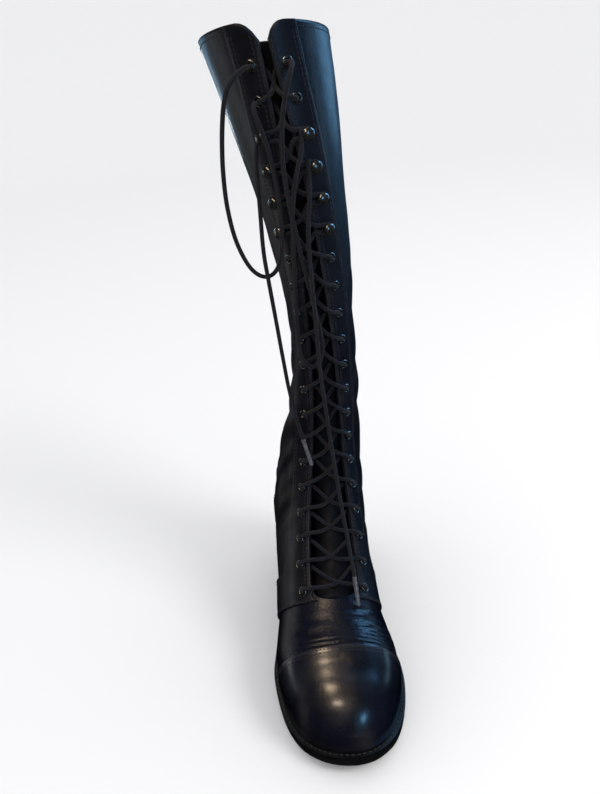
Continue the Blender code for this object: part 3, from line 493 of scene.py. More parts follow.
def ranged(nodes, value, low, high, toLow, toHigh):
    return addNode(nodes, "ShaderNodeMapRange", value, low, high, toLow, toHigh).outputs["Result"]


def relief(nodes, height, strength, deep, **under):
    return addNode(nodes, "ShaderNodeBump", Height=height, Strength=strength, Distance=deep,
                   **under).outputs["Normal"]


def colourRamp(nodes, value, *stops):
    ramp = addNode(nodes, "ShaderNodeValToRGB", value)
    for element, (at, colour) in zip(ramp.color_ramp.elements, stops):
        element.position = at
        element.color = (*colour, 1)
    return ramp.outputs["Color"]


leatherLooks = {  # grain in cells per metre, its depth in metres
    "shaftLeather": {
        "dark": (0.0015, 0.0024, 0.0080), "light": (0.0044, 0.0064, 0.0175), "rough": (0.44, 0.62),
        "shine": 0.28, "coat": 0.26, "coatRough": 0.28, "grain": 820, "grainDeep": 0.00022,
    },
    "toeLeather": {
        "dark": (0.0014, 0.0022, 0.0080), "light": (0.0046, 0.0064, 0.0175), "rough": (0.26, 0.44),
        "shine": 0.50, "coat": 0.80, "coatRough": 0.20, "grain": 1100, "grainDeep": 0.00008,
    },
    "facingLeather": {
        "dark": (0.0016, 0.0025, 0.0080), "light": (0.0046, 0.0066, 0.0170), "rough": (0.42, 0.58),
        "shine": 0.36, "coat": 0.36, "coatRough": 0.26, "grain": 900, "grainDeep": 0.00018,
    },
    "tongueLeather": {
        "dark": (0.0016, 0.0024, 0.0066), "light": (0.0038, 0.0054, 0.0120), "rough": (0.48, 0.64),
        "shine": 0.2, "coat": 0.06, "coatRough": 0.35, "grain": 900, "grainDeep": 0.00022,
    },
}
hide = {"patches": 26.0, "scuffs": 240.0, "rubbed": (0.068, 0.058, 0.050), "smears": 60.0,
        "smearSpan": (0.3, 0.75), "polished": -0.22, "broad": 150.0, "broadDeep": 0.0008, "finer": 2.2,
        "fineDeep": 0.6}


def leather(name):
    look = leatherLooks[name]
    made, nodes, shader = newMaterial(name)
    place = nodes.new("ShaderNodeTexCoord").outputs["Object"]
    patches = noise(nodes, place, hide["patches"], 5.0, 0.6)
    tone = colourRamp(nodes, patches, (0.32, look["dark"]), (0.70, look["light"]))
    # on the toe cap the wear attribute also holds spots that are partly a painted highlight
    worn = maths(nodes, "MULTIPLY", attribute(nodes, "wear"), noise(nodes, place, hide["scuffs"], 6.0, 0.7))
    rubbed = addNode(nodes, "ShaderNodeMix", data_type="RGBA", Factor=worn, A=tone, B=(*hide["rubbed"], 1))
    smears = noise(nodes, place, hide["smears"], 4.0, 0.65)
    gloss = ranged(nodes, smears, *hide["smearSpan"], *look["rough"])
    smoother = maths(nodes, "MULTIPLY_ADD", attribute(nodes, "polish"), hide["polished"], gloss)
    pebbles = addNode(nodes, "ShaderNodeTexVoronoi", Vector=place, Scale=look["grain"]).outputs["Distance"]
    fine = noise(nodes, place, look["grain"] * hide["finer"], 3.0)
    bumps = relief(nodes, noise(nodes, place, hide["broad"], 4.0, 0.6), 0.30, hide["broadDeep"])
    bumps = relief(nodes, pebbles, 0.55, look["grainDeep"], Normal=bumps)
    bumps = relief(nodes, fine, 0.35, look["grainDeep"] * hide["fineDeep"], Normal=bumps)
    feedShader(shader, {"Base Color": rubbed.outputs["Result"], "Roughness": smoother, "Normal": bumps,
                        "Coat Weight": look["coat"], "Coat Roughness": look["coatRough"],
                        "Specular IOR Level": look["shine"]})
    return made


def plainFinish(name, dark, light, rough, scale=40.0, bump=0.0003, bumpScale=300.0, metallic=0.0):
    made, nodes, shader = newMaterial(name)
    place = nodes.new("ShaderNodeTexCoord").outputs["Object"]
    patches = noise(nodes, place, scale, 5.0, 0.6)
    specks = noise(nodes, place, bumpScale, 4.0, 0.6)
    feedShader(shader, {"Base Color": colourRamp(nodes, patches, (0.3, dark), (0.72, light)),
                        "Roughness": ranged(nodes, patches, 0.0, 1.0, *rough), "Metallic": metallic,
                        "Normal": relief(nodes, specks, 0.5, bump)})
    return made


weave = {"lean": 5.0, "perMetre": 900.0, "deep": 0.0003, "rough": 0.78, "sheen": 0.06}


def braid(name, dark, light):  # woven cord: two sets of strands cross on the cord's own UV, with painted shade in the grooves between them
    made, nodes, shader = newMaterial(name)
    way = addNode(nodes, "ShaderNodeUVMap", uv_map="UVMap").outputs["UV"]
    around, along = addNode(nodes, "ShaderNodeSeparateXYZ", way).outputs[:2]
    strands = []
    for turn in (1, -1):
        lean = maths(nodes, "MULTIPLY", around, weave["lean"] * turn)
        count = maths(nodes, "MULTIPLY_ADD", along, weave["perMetre"], lean)
        strands.append(maths(nodes, "SINE", maths(nodes, "MULTIPLY", count, 2 * math.pi)))
    height = maths(nodes, "MAXIMUM", *strands)
    # the colour is darker low between the strands: painted shade in the grooves, lighter on the crowns
    feedShader(shader, {"Base Color": colourRamp(nodes, height, (0.1, dark), (0.95, light)),
                        "Normal": relief(nodes, height, 0.6, weave["deep"]),
                        "Roughness": weave["rough"], "Sheen Weight": weave["sheen"]})
    return made


shaftLeather, toeLeather, facingLeather, tongueLeather = (leather(name) for name in leatherLooks)
lining = plainFinish("liningFabric", (0.010, 0.010, 0.012), (0.020, 0.019, 0.020), (0.75, 0.92), 60,
                     bumpScale=900)
soleRubber = plainFinish("soleRubber", (0.0030, 0.0030, 0.0036), (0.0085, 0.0082, 0.0085), (0.45, 0.7))
weltEdge = plainFinish("weltEdge", (0.0028, 0.0030, 0.0045), (0.0080, 0.0080, 0.0095), (0.34, 0.55))
insoleLeather = plainFinish("insoleLeather", (0.055, 0.045, 0.036), (0.105, 0.088, 0.070), (0.7, 0.85))
gunmetal = plainFinish("gunmetal", (0.13, 0.135, 0.13), (0.30, 0.30, 0.28), (0.18, 0.32), 300, 0.00002,
                       bumpScale=1500, metallic=0.95)
# near-black, for the painted shade inside the eyelet holes
paintedHoleShade = plainFinish("paintedHoleShade", (0.002, 0.002, 0.003), (0.004, 0.004, 0.005), (0.9, 0.95))
laceCord = braid("laceCord", (0.0020, 0.0027, 0.0070), (0.0062, 0.0082, 0.0190))
threadNavy = plainFinish("threadNavy", (0.010, 0.012, 0.020), (0.024, 0.027, 0.040), (0.55, 0.7), 500)
threadWelt = plainFinish("threadWelt", (0.030, 0.028, 0.027), (0.060, 0.056, 0.052), (0.6, 0.75), 500)
tipPlastic = plainFinish("tipPlastic", (0.045, 0.048, 0.056), (0.110, 0.112, 0.120), (0.10, 0.20), 300,
                         bump=0.00002)
print("finishes mixed")

upper = {"wear": 0.35, "wearAt": 1.6, "polishRun": 3.0}  # vamp, quarters and shaft in one wall, lined inside


def buildUpper():
    grid, push = (np.concatenate([field[outer][:, ::-1], field[inner]], axis=1)
                  for field in (skinPoints, skinPush))
    rows, columns = grid.shape[:2]
    drop = np.zeros((rows - 1, columns - 1), bool)
    drop[rowOf(seams["throat"]):, skin["columns"]] = True  # the throat is open
    piece = sheetFromGrid("upperLeather", grid, shaftLeather, drop)
    paint(piece, "wear", np.clip(push / upper["wearAt"], 0, 1) * upper["wear"])
    shined = smoothStep((seams["wing"] - places) / upper["polishRun"])  # the foot takes more polish
    paint(piece, "polish", np.repeat(shined, columns))
    piece.data.materials.append(lining)
    mergeDoubles(piece)
    faceOutwards(piece, awayFromSkin)
    applyModifier(piece, "SOLIDIFY", thickness=boot["wall"] * mm, offset=-1, use_even_offset=False,
                  material_offset=1, material_offset_rim=0)
    finishPiece(piece, "navy_leather", "upper")


buildUpper()
print("upper built")

overlay = {"bevel": 0.55, "seat": 0.15}  # toe cap, counter and facings, cut from the same skin


def thickenOverlay(piece, node):
    mergeDoubles(piece)
    faceOutwards(piece, awayFromSkin)
    thick = boot["overlay"] - overlay["seat"]
    applyModifier(piece, "SOLIDIFY", thickness=thick * mm, offset=-1, use_even_offset=False)
    roundEdges(piece, overlay["bevel"])
    finishPiece(piece, "navy_leather", node)


def edgeWear(shape, rows, columns, edges):  # lighter, rubbed edges on a grid piece
    r, c = np.indices(shape[:2])
    worn = np.zeros(shape[:2])
    for row, column in edges:
        away = np.abs(r - row) / rows if row is not None else np.abs(c - column) / columns
        worn = np.maximum(worn, np.clip(1 - away, 0, 1))
    return worn


cap = {"rows": 72, "wear": 0.3, "wearRows": 2.5}
capScuffsAndHighlights = (  # scuffed spots, partly real scuffing and partly a painted highlight where the warm lamps shine on the cap: x, y, half width, half length (mm), how much
    (-8, -172, 9, 9, 0.5), (-2, -196, 8, 6, 0.5), (14, -207, 9, 4, 0.4), (-28, -188, 4, 12, 0.4),
)


def buildToeCap():
    at = np.linspace(0, seams["cap"], cap["rows"])[:, None]
    left = onSkin(at, outer, shares[::-1][None, :], boot["overlay"])
    right = onSkin(at, inner, shares[None, :], boot["overlay"])
    grid = np.concatenate([left, right[:, 1:]], axis=1)
    piece = sheetFromGrid("toeCapLeather", grid, toeLeather)
    worn = cap["wear"] * edgeWear(grid.shape, cap["wearRows"], 1, ((cap["rows"] - 1, None),))
    # lighter, browner spots on the cap: scuffing, and a painted highlight where the warm lamps shine
    for x, y, wide, long, much in capScuffsAndHighlights:
        worn = worn + much * np.exp(-((grid[..., 0] - x) / wide) ** 2 - ((grid[..., 1] - y) / long) ** 2)
    paint(piece, "wear", np.clip(worn, 0, 1))
    thickenOverlay(piece, "toe_cap")


facing = {"width": 20.0, "widest": 0.3, "cornerRound": 12.0, "cornerRun": 1.05, "fillet": 16.0,
          "filletRun": 0.7, "easeRun": 2.0, "stripColumns": 9, "wingColumns": 46, "wingRows": 26,
          "stripRows": 230, "wear": 0.35}


def stripShare(place, side):  # the facing strip's width as a share of the side
    run = runAt(place, side)
    return np.minimum(facing["width"], facing["widest"] * run) / run


counter = {
    "edge": ((0, 0.5), (13.5, 0.06), (14.5, 0.28), (16, 0.40), (19, 0.44), (23, 0.36), (26, 0.27),
             (32, 0.45)),  # place, share of the side behind the facing
    "rise": 0.75,  # how many sections the top stands higher at the back than at its corners
    "columns": 26, "rows": 130, "wear": 0.3,
}


def counterShare(place, side):  # share of the side where the counter's front edge lies
    return 1 - np.interp(place, *zip(*counter["edge"])) * (1 - stripShare(place, side))


def counterTop(across):
    return seams["counterTop"] + counter["rise"] * np.sin(across * math.pi / 2)


def counterGrid(side):
    across = np.linspace(0, 1, counter["columns"])[None, :]
    along = np.linspace(0, 1, counter["rows"])[:, None]
    at = seams["counterLow"] + along * (counterTop(across) - seams["counterLow"])
    start = counterShare(at, side)
    return onSkin(at, side, start + across * (1 - start), boot["overlay"])


def buildCounter():
    grid = np.concatenate([counterGrid(outer), counterGrid(inner)[:, ::-1][:, 1:]], axis=1)
    piece = sheetFromGrid("heelCounterLeather", grid, facingLeather)
    edges = ((counter["rows"] - 1, None), (None, 0), (None, grid.shape[1] - 1))
    paint(piece, "wear", counter["wear"] * edgeWear(grid.shape, 2.5, 1.5, edges))
    thickenOverlay(piece, "heel_counter")


def frontPlace(side, share):  # the facing's front edge, round at the throat
    away = share * runAt(seams["throat"] + 0.5, side)
    return seams["throat"] + facing["cornerRun"] * np.clip(1 - away / facing["cornerRound"], 0, 1) ** 2


def backPlace(side, share):  # the wing's back edge, with a fillet at the strip
    away = (share - stripShare(seams["wing"], side)) * runAt(seams["wing"], side)
    return seams["wing"] + facing["filletRun"] * np.clip(1 - away / facing["fillet"], 0, 1) ** 2


def facingGrids(side):
    start = stripShare(seams["wing"], side)
    meet = float(backPlace(side, start))  # where strip and wing part
    rows = np.linspace(0, 1, facing["wingRows"])[:, None]
    across, wide = (np.linspace(0, 1, facing[name])[None, :] for name in ("stripColumns", "wingColumns"))
    low = frontPlace(side, across * start)
    foot = onSkin(low + rows * (meet - low), side, across * start, boot["overlay"])
    upAt = np.linspace(meet, lastPlace, facing["stripRows"])[:, None]
    ease = smoothStep((upAt - meet) / facing["easeRun"])
    upShare = across * (start * (1 - ease) + stripShare(upAt, side) * ease)
    strip = np.concatenate([foot, onSkin(upAt, side, upShare, boot["overlay"])[1:]])
    wingShare = start + wide * (1 - start)
    low = frontPlace(side, wingShare)
    wing = onSkin(low + rows * (backPlace(side, wingShare) - low), side, wingShare, boot["overlay"])
    return (strip, ((None, 0),)), (wing, ((0, None), (len(wing) - 1, None)))  # each with its rubbed edges


def buildFacing(side):
    pieces = []
    for grid, edges in facingGrids(side):
        pieces.append(sheetFromGrid("facingSheet", grid, facingLeather))
        paint(pieces[-1], "wear", facing["wear"] * edgeWear(grid.shape, 1.5, 1.2, edges))
    piece = joinPieces(*pieces, f"facingLeather_{sideName[side]}")
    mergeDoubles(piece, 0.02, faceOut)
    thickenOverlay(piece, f"facing_{sideName[side]}")


buildToeCap()
buildCounter()
for side in sides:
    buildFacing(side)
print("overlays built")

# outsole, welt, insole and stacked heel
sole = {"columns": 14, "outsoleBevel": 0.7, "weltBevel": 0.9, "insoleBevel": 0.6, "insoleIn": 3.8,
        "outsoleIn": 0.6, "narrowFrom": 40, "narrowRun": 90, "roundTo": 0.45}
heel = {"taper": 2.5, "breastLean": 4.0, "lifts": 5, "groove": 0.35, "grooveHalf": 0.5, "topLift": 6.0,
        "seat": 0.4, "waist": 0.9, "breastSteps": 12, "footLevels": ((0.0, 0.8), (0.4, 0.2), (0.9, 0.0))}


def loopOf(left, right):  # two edges from toe to heel as one closed outline
    return np.concatenate([left, right[::-1][1:-1]])


def outwardOf(loop):
    run = np.roll(loop, -1, axis=0) - np.roll(loop, 1, axis=0)
    return unit(np.column_stack([-run[:, 1], run[:, 0]]))


def soleOutline(ledgeToe, ledgeHeel):  # outer and inner edge from toe to heel
    count = rowOf(seams["heelEnd"]) + 1
    loop = loopOf(*(skinPoints[side][:count, -1, :2] for side in sides))
    toward = np.clip((-loop[:, 1] - sole["narrowFrom"]) / sole["narrowRun"], 0, 1)
    moved = loop + outwardOf(loop) * (ledgeHeel + (ledgeToe - ledgeHeel) * toward)[:, None]
    return moved[:count], np.concatenate([moved[:1], moved[count - 1 :][::-1]])


def slab(name, outline, low, high, finish, slot, node, bevel):  # a sheet with rounded edges
    soft = min(bevel, (high - low) / 2)
    quarter = np.linspace(0, math.pi / 2, 4)
    edge = [(math.sin(a), high - soft + soft * math.cos(a)) for a in quarter]
    edge += [(math.sin(a), low + soft + soft * math.cos(a)) for a in quarter + math.pi / 2]
    rows = []
    for a, b in zip(*outline):
        wide = np.linalg.norm(b - a)
        inset = min(soft, sole["roundTo"] * wide)
        along = (b - a) / max(wide, tiny)
        flat = np.linspace(inset, wide - inset, sole["columns"])
        ring = [(*(a + along * t), high) for t in flat]  # top, one edge, bottom, other edge
        ring += [(*(b - along * (inset - out * inset)), z) for out, z in edge[1:]]
        ring += [(*(b - along * t), low) for t in flat[1:]]
        ring += [(*(a + along * (inset - out * inset)), z) for out, z in edge[::-1][1:]]
        ring = np.array(ring)
        ring[:, 2] += soleRise(ring[:, 1])
        rows.append(ring)
    piece = sheetFromGrid(name, np.array(rows), finish)
    mergeDoubles(piece, 0.01)
    editAll(piece, fillHoles, selectAll, faceOut)
    finishPiece(piece, slot, node)
    bpy.ops.object.shade_smooth_by_angle(angle=math.radians(55))


def buildSole():
    tread = soleOutline(boot["ledgeToe"] - sole["outsoleIn"], boot["ledgeHeel"] - sole["outsoleIn"])
    ledge = soleOutline(boot["ledgeToe"], boot["ledgeHeel"])
    inside = soleOutline(-sole["insoleIn"], -sole["insoleIn"])
    weltLow = boot["outsole"] + boot["gap"]
    insoleLow = weltLow + boot["welt"] + boot["gap"]
    layers = (  # name, outline, underside, finish, slot, node
        ("outsoleRubber", tread, 0, soleRubber, "sole_rubber", "outsole"),
        ("weltStrip", ledge, weltLow, weltEdge, "welt_leather", "welt"),
        ("insoleSheet", inside, insoleLow, insoleLeather, "insole_leather", "insole"),
    )
    for name, outline, low, finish, slot, node in layers:
        slab(name, outline, low, low + boot[node], finish, slot, node, sole[node + "Bevel"])
    buildHeel(tread)
    return ledge


def heelLevels(tall):  # height and how far the side is nicked in there
    half = heel["grooveHalf"]
    levels = list(heel["footLevels"])
    for cut in np.linspace(heel["topLift"], tall, heel["lifts"] + 1)[:-1]:  # a fine groove above each lift
        levels += [(cut - half, 0.0), (cut, heel["groove"]), (cut + half, 0.0)]
    return levels + [(tall - half, 0.0), (tall, heel["seat"])]


def buildHeel(tread):
    left, right = tread
    breast = boot["heelBreast"]
    ends = [np.array((np.interp(breast, edge[:, 1], edge[:, 0]), breast)) for edge in tread]
    back = [p for p in (*left, *right[::-1][1:]) if p[1] > breast + 1]
    front = [ends[1] + (ends[0] - ends[1]) * t for t in np.linspace(0, 1, heel["breastSteps"])[1:-1]]
    plan = np.array([ends[0], *back, ends[1], *front])
    isBreast = plan[:, 1] < breast + 0.5
    middle = plan.mean(axis=0)
    away = plan - middle
    reach = np.linalg.norm(away, axis=1, keepdims=True)
    tall = boot["heelHeight"] - boot["gap"]
    rings = []
    for z, nick in heelLevels(tall):
        share = 1 - z / tall
        waist = heel["waist"] * math.sin(math.pi * share)  # sides curve in a little
        inset = heel["seat"] + (heel["taper"] - heel["seat"]) * share + waist + nick
        ring = middle + away * (1 - inset / reach)
        ring[isBreast, 1] += heel["breastLean"] * share
        rings.append(np.column_stack([ring, np.full(len(ring), z)]))
    grid = np.array([np.vstack([ring, ring[:1]]) for ring in rings])
    piece = sheetFromGrid("heelBlock", grid, soleRubber)
    mergeDoubles(piece, 0.02)
    editAll(piece, *selectOpenEdges, (bpy.ops.mesh.edge_face_add, {}), selectAll, fillHoles, faceOut)
    finishPiece(piece, "sole_rubber", "heel")
    bpy.ops.object.shade_smooth_by_angle(angle=math.radians(40))


weltLine = buildSole()
print("sole built")

tongue = {"from": 9.0, "to": 31.6, "dropRows": 1.6, "depth": 7.5, "thick": 2.0, "half": 21.0, "share": 0.54,
          "bow": 0.95, "bowFrom": 11.0, "bowRun": 4.0, "columns": 25, "rows": 200, "bevel": 0.6}


def buildTongue():  # a bowed sheet behind the throat
    rows = []
    s = np.linspace(-1, 1, tongue["columns"])
    under = boot["wall"] + boot["gap"]
    for place in np.linspace(tongue["from"], tongue["to"], tongue["rows"]):
        row = sectionAt(place)
        base, top = sectionEnds(row)
        seated = smoothStep((place - tongue["from"]) / tongue["dropRows"])
        depth = under + seated * (tongue["depth"] - under)
        half = tongue["share"] * boot["ballWidth"] / 100 * min(row["outerSide"], row["innerSide"])
        half = min(half, tongue["half"])
        waves = 0.35 * np.sin(place * 6.1) * np.cos(s * 1.4) + 0.25 * np.sin(place * 2.3 + s * 2)  # slack
        bow = tongue["bow"] * (0.4 + 0.6 * smoothStep((place - tongue["bowFrom"]) / tongue["bowRun"]))
        deep = depth + bow * half * s * s + waves * seated
        yz = top[None] + unit(base - top)[None] * deep[:, None]
        rows.append(np.column_stack([sectionMiddle(row, 1) + half * s, yz]))
    sheet = sheetFromGrid("tongueLeather_sheet", np.array(rows), tongueLeather)
    paint(sheet, "wear", np.zeros(len(sheet.data.vertices)))
    faceOutwards(sheet, lambda centres: np.tile((0, -1.0, 0.35), (len(centres), 1)))
    applyModifier(sheet, "SOLIDIFY", thickness=tongue["thick"] * mm, offset=-1)
    roundEdges(sheet, tongue["bevel"])
    finishPiece(sheet, "navy_leather", "tongue")


buildTongue()
print("tongue built")

# eyelets and hooks, each where its solid is; profiles are (radius, height) in millimetres
lacing = {"rows": 20, "hookRows": (3, 4, 5, 6), "fromEdge": 8.0, "steps": 28, "holeDeep": -0.15, "turn": 0.7}
eyeletProfile = ((2.15, -1.2), (2.15, 0.55), (2.45, 0.95), (2.9, 1.1), (3.4, 0.85), (3.75, 0.15),
                 (3.75, -0.2))
hookProfile = ((3.6, -0.2), (3.6, 0.5), (3.2, 0.95), (1.7, 1.1), (1.5, 1.6), (1.5, 3.6), (2.6, 4.0),
               (3.9, 4.3), (4.25, 4.9), (4.1, 5.7), (3.5, 6.6), (2.5, 7.2), (1.2, 7.5), (0.0, 7.6))
eyeletSpots = {}  # (side, row): place, point, normal


def kindOf(row):
    return "hook" if row in lacing["hookRows"] else "eyelet"


def findEyelets():
    at = np.arange(seams["throat"] + 0.5, lastPlace, 0.01)
    for side in sides:
        share = stripShare(at, side) * lacing["fromEdge"] / facing["width"]
        line = onSkin(at, side, share)
        for row in range(1, lacing["rows"] + 1):
            low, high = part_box(f"{kindOf(row)}_{sideName[side]}_{row:02d}")
            centre = (np.array(low) + np.array(high)) / 2 / mm
            best = np.linalg.norm(line - centre, axis=1).argmin()
            spot = (at[best], side, float(share[best]))
            eyeletSpots[side, row] = (at[best], onSkin(*spot, boot["overlay"]), normalAt(*spot))


def spinProfile(name, profile):  # turned round its own axis at the origin
    turn = np.linspace(0, 2 * math.pi, lacing["steps"] + 1)
    rings = np.array([[(r * math.cos(a), r * math.sin(a), h) for a in turn] for r, h in profile])
    piece = sheetFromGrid(name, rings, gunmetal)
    mergeDoubles(piece, 0.01, faceOut)
    return piece


def addHole(piece):  # a dark disc: painted shade inside an eyelet's hole
    radius = eyeletProfile[0][0] * 0.99
    bpy.ops.mesh.primitive_circle_add(vertices=lacing["steps"], radius=radius * mm, fill_type="TRIFAN",
                                      location=(0, 0, lacing["holeDeep"] * mm))
    disc = bpy.context.object
    activate(disc)
    bpy.ops.object.transform_apply(location=True)
    disc.data.materials.append(paintedHoleShade)
    joinPieces(piece, disc, piece.name)


def seatCopy(pattern, name, spot, spin):  # a copy with its own mesh, its place in the mesh
    _, point, normal = spot
    piece = pattern.copy()
    piece.data = pattern.data.copy()
    piece.name = name
    bpy.context.collection.objects.link(piece)
    turn = Vector(normal).to_track_quat("Z", "Y").to_matrix().to_4x4()
    move = Matrix.Translation(Vector(point) * mm)
    piece.data.transform(move @ turn @ Matrix.Rotation(spin, 4, "Z"))
    return piece


def buildFastenings():
    findEyelets()
    profiles = {"eyelet": eyeletProfile, "hook": hookProfile}
    patterns = {kind: spinProfile(f"{kind}Pattern", profile) for kind, profile in profiles.items()}
    addHole(patterns["eyelet"])
    for (side, row), spot in eyeletSpots.items():
        kind, ending = kindOf(row), f"{sideName[side]}_{row:02d}"
        piece = seatCopy(patterns[kind], f"{kind}Metal_{ending}", spot, row * lacing["turn"])
        finishPiece(piece, "gunmetal", f"{kind}_{ending}")
    for pattern in patterns.values():
        bpy.data.objects.remove(pattern)


buildFastenings()
print("eyelets and hooks set:", len(eyeletSpots))

# lace: a round braided cord
lace = {"radius": 1.5, "sides": 10, "step": 1.3, "fine": 12, "over": 1.9, "under": 5.2, "sag": 0.17,
        "stem": 3.1, "stemUp": 2.5, "stemTurns": (-80, -30, 20, 70, 120), "stemClimb": 0.006,
        "leaves": 0.1, "enters": 0.12, "dip": 0.6, "sink": 0.4}
throughEyelet = ((-0.5, -lace["under"], 0), (0, -1.5, 0), (0.3, 1.6, 0), (2.4, 2.6, 0.8))  # to edge, out, up


def smoothWay(points):  # a smooth curve through the points, in even steps
    rows = np.array(points, float)
    rows = np.vstack([2 * rows[0] - rows[1], rows, 2 * rows[-1] - rows[-2]])
    stations = np.arange(lace["fine"], lace["fine"] * (len(rows) - 2) + 1) / lace["fine"]
    way = np.array([curveThrough(rows, at) for at in stations])
    run = runAlong(way)
    stops = np.linspace(0, run[-1], max(4, int(round(run[-1] / lace["step"])) + 1))
    return pointsAt(stops, run, way)


def cordTube(name, way, radius, finish, squeeze=None):  # rings carried along the way without twist
    tangent = unit(np.gradient(way, axis=0))
    across = unit(np.cross(tangent[0], (0.31, 0.9, 0.3)))
    turn = np.linspace(0, 2 * math.pi, lace["sides"] + 1)[:, None]
    rings = []
    for n, ahead in enumerate(tangent):
        across = unit(across - ahead * (across @ ahead))
        r = radius if squeeze is None else radius * squeeze[n]
        rings.append(way[n] + r * (np.cos(turn) * across + np.sin(turn) * np.cross(ahead, across)))
    piece = sheetFromGrid(name, np.array(rings), finish)
    run = runAlong(way) * mm
    layer = piece.data.uv_layers.active
    layer.name = "UVMap"
    uv = np.zeros(len(piece.data.loops) * 2)
    layer.data.foreach_get("uv", uv)
    uv[1::2] = np.interp(uv[1::2], np.linspace(0, 1, len(run)), run)  # metres along the cord
    layer.data.foreach_set("uv", uv)
    mergeDoubles(piece, 0.005)
    editAll(piece, *selectOpenEdges, fillHoles, selectAll, faceOut)
    return piece


def strandWay(firstSide):  # up through one eyelet, over the throat, under the other edge
    way = []
    outward = boot["overlay"] + lace["over"]
    for row in range(lacing["rows"], 0, -1):
        side = firstSide if (lacing["rows"] - row) % 2 == 0 else -firstSide
        place, point, normal = eyeletSpots[side, row]
        toEdge = unit(onSkin(place, side, 0.0, boot["overlay"]) - point)
        upward = np.cross(normal, toEdge) * -side
        if row in lacing["hookRows"]:  # round the hook's stem
            for angle in lace["stemTurns"]:
                a = math.radians(angle)
                aside = upward * math.sin(a) - toEdge * math.cos(a)
                high = lace["stemUp"] + lace["stemClimb"] * angle
                way.append(point + normal * high + aside * lace["stem"])
        else:
            way += [point + toEdge * edge + normal * out + upward * up for edge, out, up in throughEyelet]
        if row == 1:
            break
        edge = onSkin(place + lace["leaves"], side, 0.0, outward)
        lift = outward if row - 1 in lacing["hookRows"] else -boot["wall"] - lace["over"]
        far = onSkin(eyeletSpots[-side, row - 1][0] - lace["enters"], -side, 0.0, lift)
        down = unit(onSkin(place - 0.4, side, 0.0) - onSkin(place + 0.1, side, 0.0))
        uneven = (0.75 + 0.25 * math.sin(row * 2.7 + side)) * (0.6 + 0.4 * min(1.0, row / 12))
        drop = lace["sag"] * uneven * np.linalg.norm(far - edge) + lace["dip"]
        way += [edge, (edge + far) / 2 + down * drop - normal * lace["sink"], far]
    return way


def buildLacing():
    strands = [cordTube("laceRun", smoothWay(strandWay(side)), lace["radius"], laceCord) for side in sides]
    finishPiece(joinPieces(*strands, "laceCrossings"), "lace_cord", "lace_crossings")


laceWays = {  # loops and free ends, in millimetres, from where each leaves the lacing
    "lace_loop_outer": (
        (-20.4, -61.9, 439.0), (-23.2, -66.2, 438.2), (-28.2, -69.6, 435.0), (-34.0, -69.5, 428.0),
        (-38.0, -66.5, 417.0), (-41.5, -62.5, 400.0), (-44.0, -58.8, 380.0), (-44.6, -56.8, 358.0),
        (-42.0, -56.3, 336.0), (-35.5, -56.3, 318.0), (-27.5, -56.6, 310.3), (-19.5, -57.2, 311.8),
        (-13.6, -59.6, 322.5), (-11.2, -61.6, 340.0), (-10.6, -62.2, 358.0), (-11.6, -62.5, 376.0),
        (-14.0, -66.0, 393.0), (-17.2, -69.8, 406.5), (-19.6, -69.0, 415.0), (-19.3, -64.5, 418.6),
        (-18.2, -60.3, 418.8),
    ),
    "lace_end_outer": (
        (-19.8, -57.8, 400.4), (-22.4, -55.6, 386.0), (-23.8, -54.4, 356.0), (-24.7, -57.0, 328.0),
        (-23.5, -60.4, 308.0), (-21.9, -55.4, 276.6), (-20.3, -52.6, 246.7), (-18.1, -52.6, 216.9),
        (-13.5, -56.9, 187.6), (-6.9, -65.8, 159.6),
    ),
    "lace_loop_inner": (
        (4.4, -62.3, 439.6), (5.6, -66.8, 439.0), (4.6, -71.3, 435.5), (1.6, -73.1, 427.5),
        (-1.6, -71.3, 417.0), (-4.2, -68.8, 403.0), (-5.6, -66.4, 383.0), (-4.6, -64.7, 362.0),
        (-2.0, -63.3, 340.0), (1.2, -61.8, 316.0), (5.0, -60.6, 291.0), (8.6, -59.7, 266.0),
        (8.9, -59.2, 253.0), (6.0, -58.9, 243.5), (0.6, -58.6, 240.0), (-4.8, -58.1, 244.0),
        (-7.3, -57.0, 254.0), (-7.6, -56.6, 268.0), (-6.4, -58.5, 292.0), (-4.9, -61.9, 322.0),
        (-2.8, -64.0, 352.0), (1.4, -66.1, 374.0), (6.0, -65.7, 389.0), (7.5, -61.1, 401.6),
    ),
    "lace_end_inner": (
        (10.3, -60.5, 384.0), (9.0, -64.5, 363.5), (5.8, -64.9, 333.8), (5.7, -65.6, 303.9),
        (5.8, -65.0, 274.0), (5.7, -63.6, 244.1), (7.0, -60.2, 214.2), (8.7, -61.7, 184.4),
        (10.6, -68.4, 155.3), (12.9, -80.2, 128.3), (15.5, -100.5, 106.7), (17.7, -121.6, 85.7),
        (18.3, -128.6, 72.5),
    ),
}
tip = {"radius": 1.75, "length": 22.0, "clear": 1.2, "lap": 0.5,
       "shape": ((0.0, 0.80), (0.6, 0.98), (1.5, 1.0), (3.0, 0.93), (19.0, 0.88), (21.2, 0.78), (22.0, 0.45))}


def buildTip(side, foot, along):
    at, wide = zip(*tip["shape"])
    knots = np.arange(2 * len(at) - 1) / 2  # one ring more between each two
    stops = np.interp(knots, np.arange(len(at)), at)
    piece = cordTube(f"laceTip_{side}", foot + along * stops[:, None], tip["radius"], tipPlastic,
                     np.interp(stops, at, wide))
    finishPiece(piece, "aglet_plastic", f"aglet_{side}")
    return piece


def buildLooseLace():
    for node, points in laceWays.items():
        _, kind, side = node.split("_")
        way = smoothWay(points)
        carried, far = [], "object"
        if kind == "end":
            end = way[-1]
            way = way[np.linalg.norm(way - end, axis=1) > tip["length"] + tip["clear"]]
            along = unit(end - way[-1])
            foot = end - along * tip["length"]
            way = np.vstack([way, foot + along * tip["lap"]])
            carried, far = [buildTip(side, foot, along)], "fitting"
        piece = cordTube(f"lace{kind.title()}Cord_{side}", way, lace["radius"], laceCord)
        finishPiece(piece, "lace_cord", node)


buildLacing()
buildLooseLace()
print("laces run")

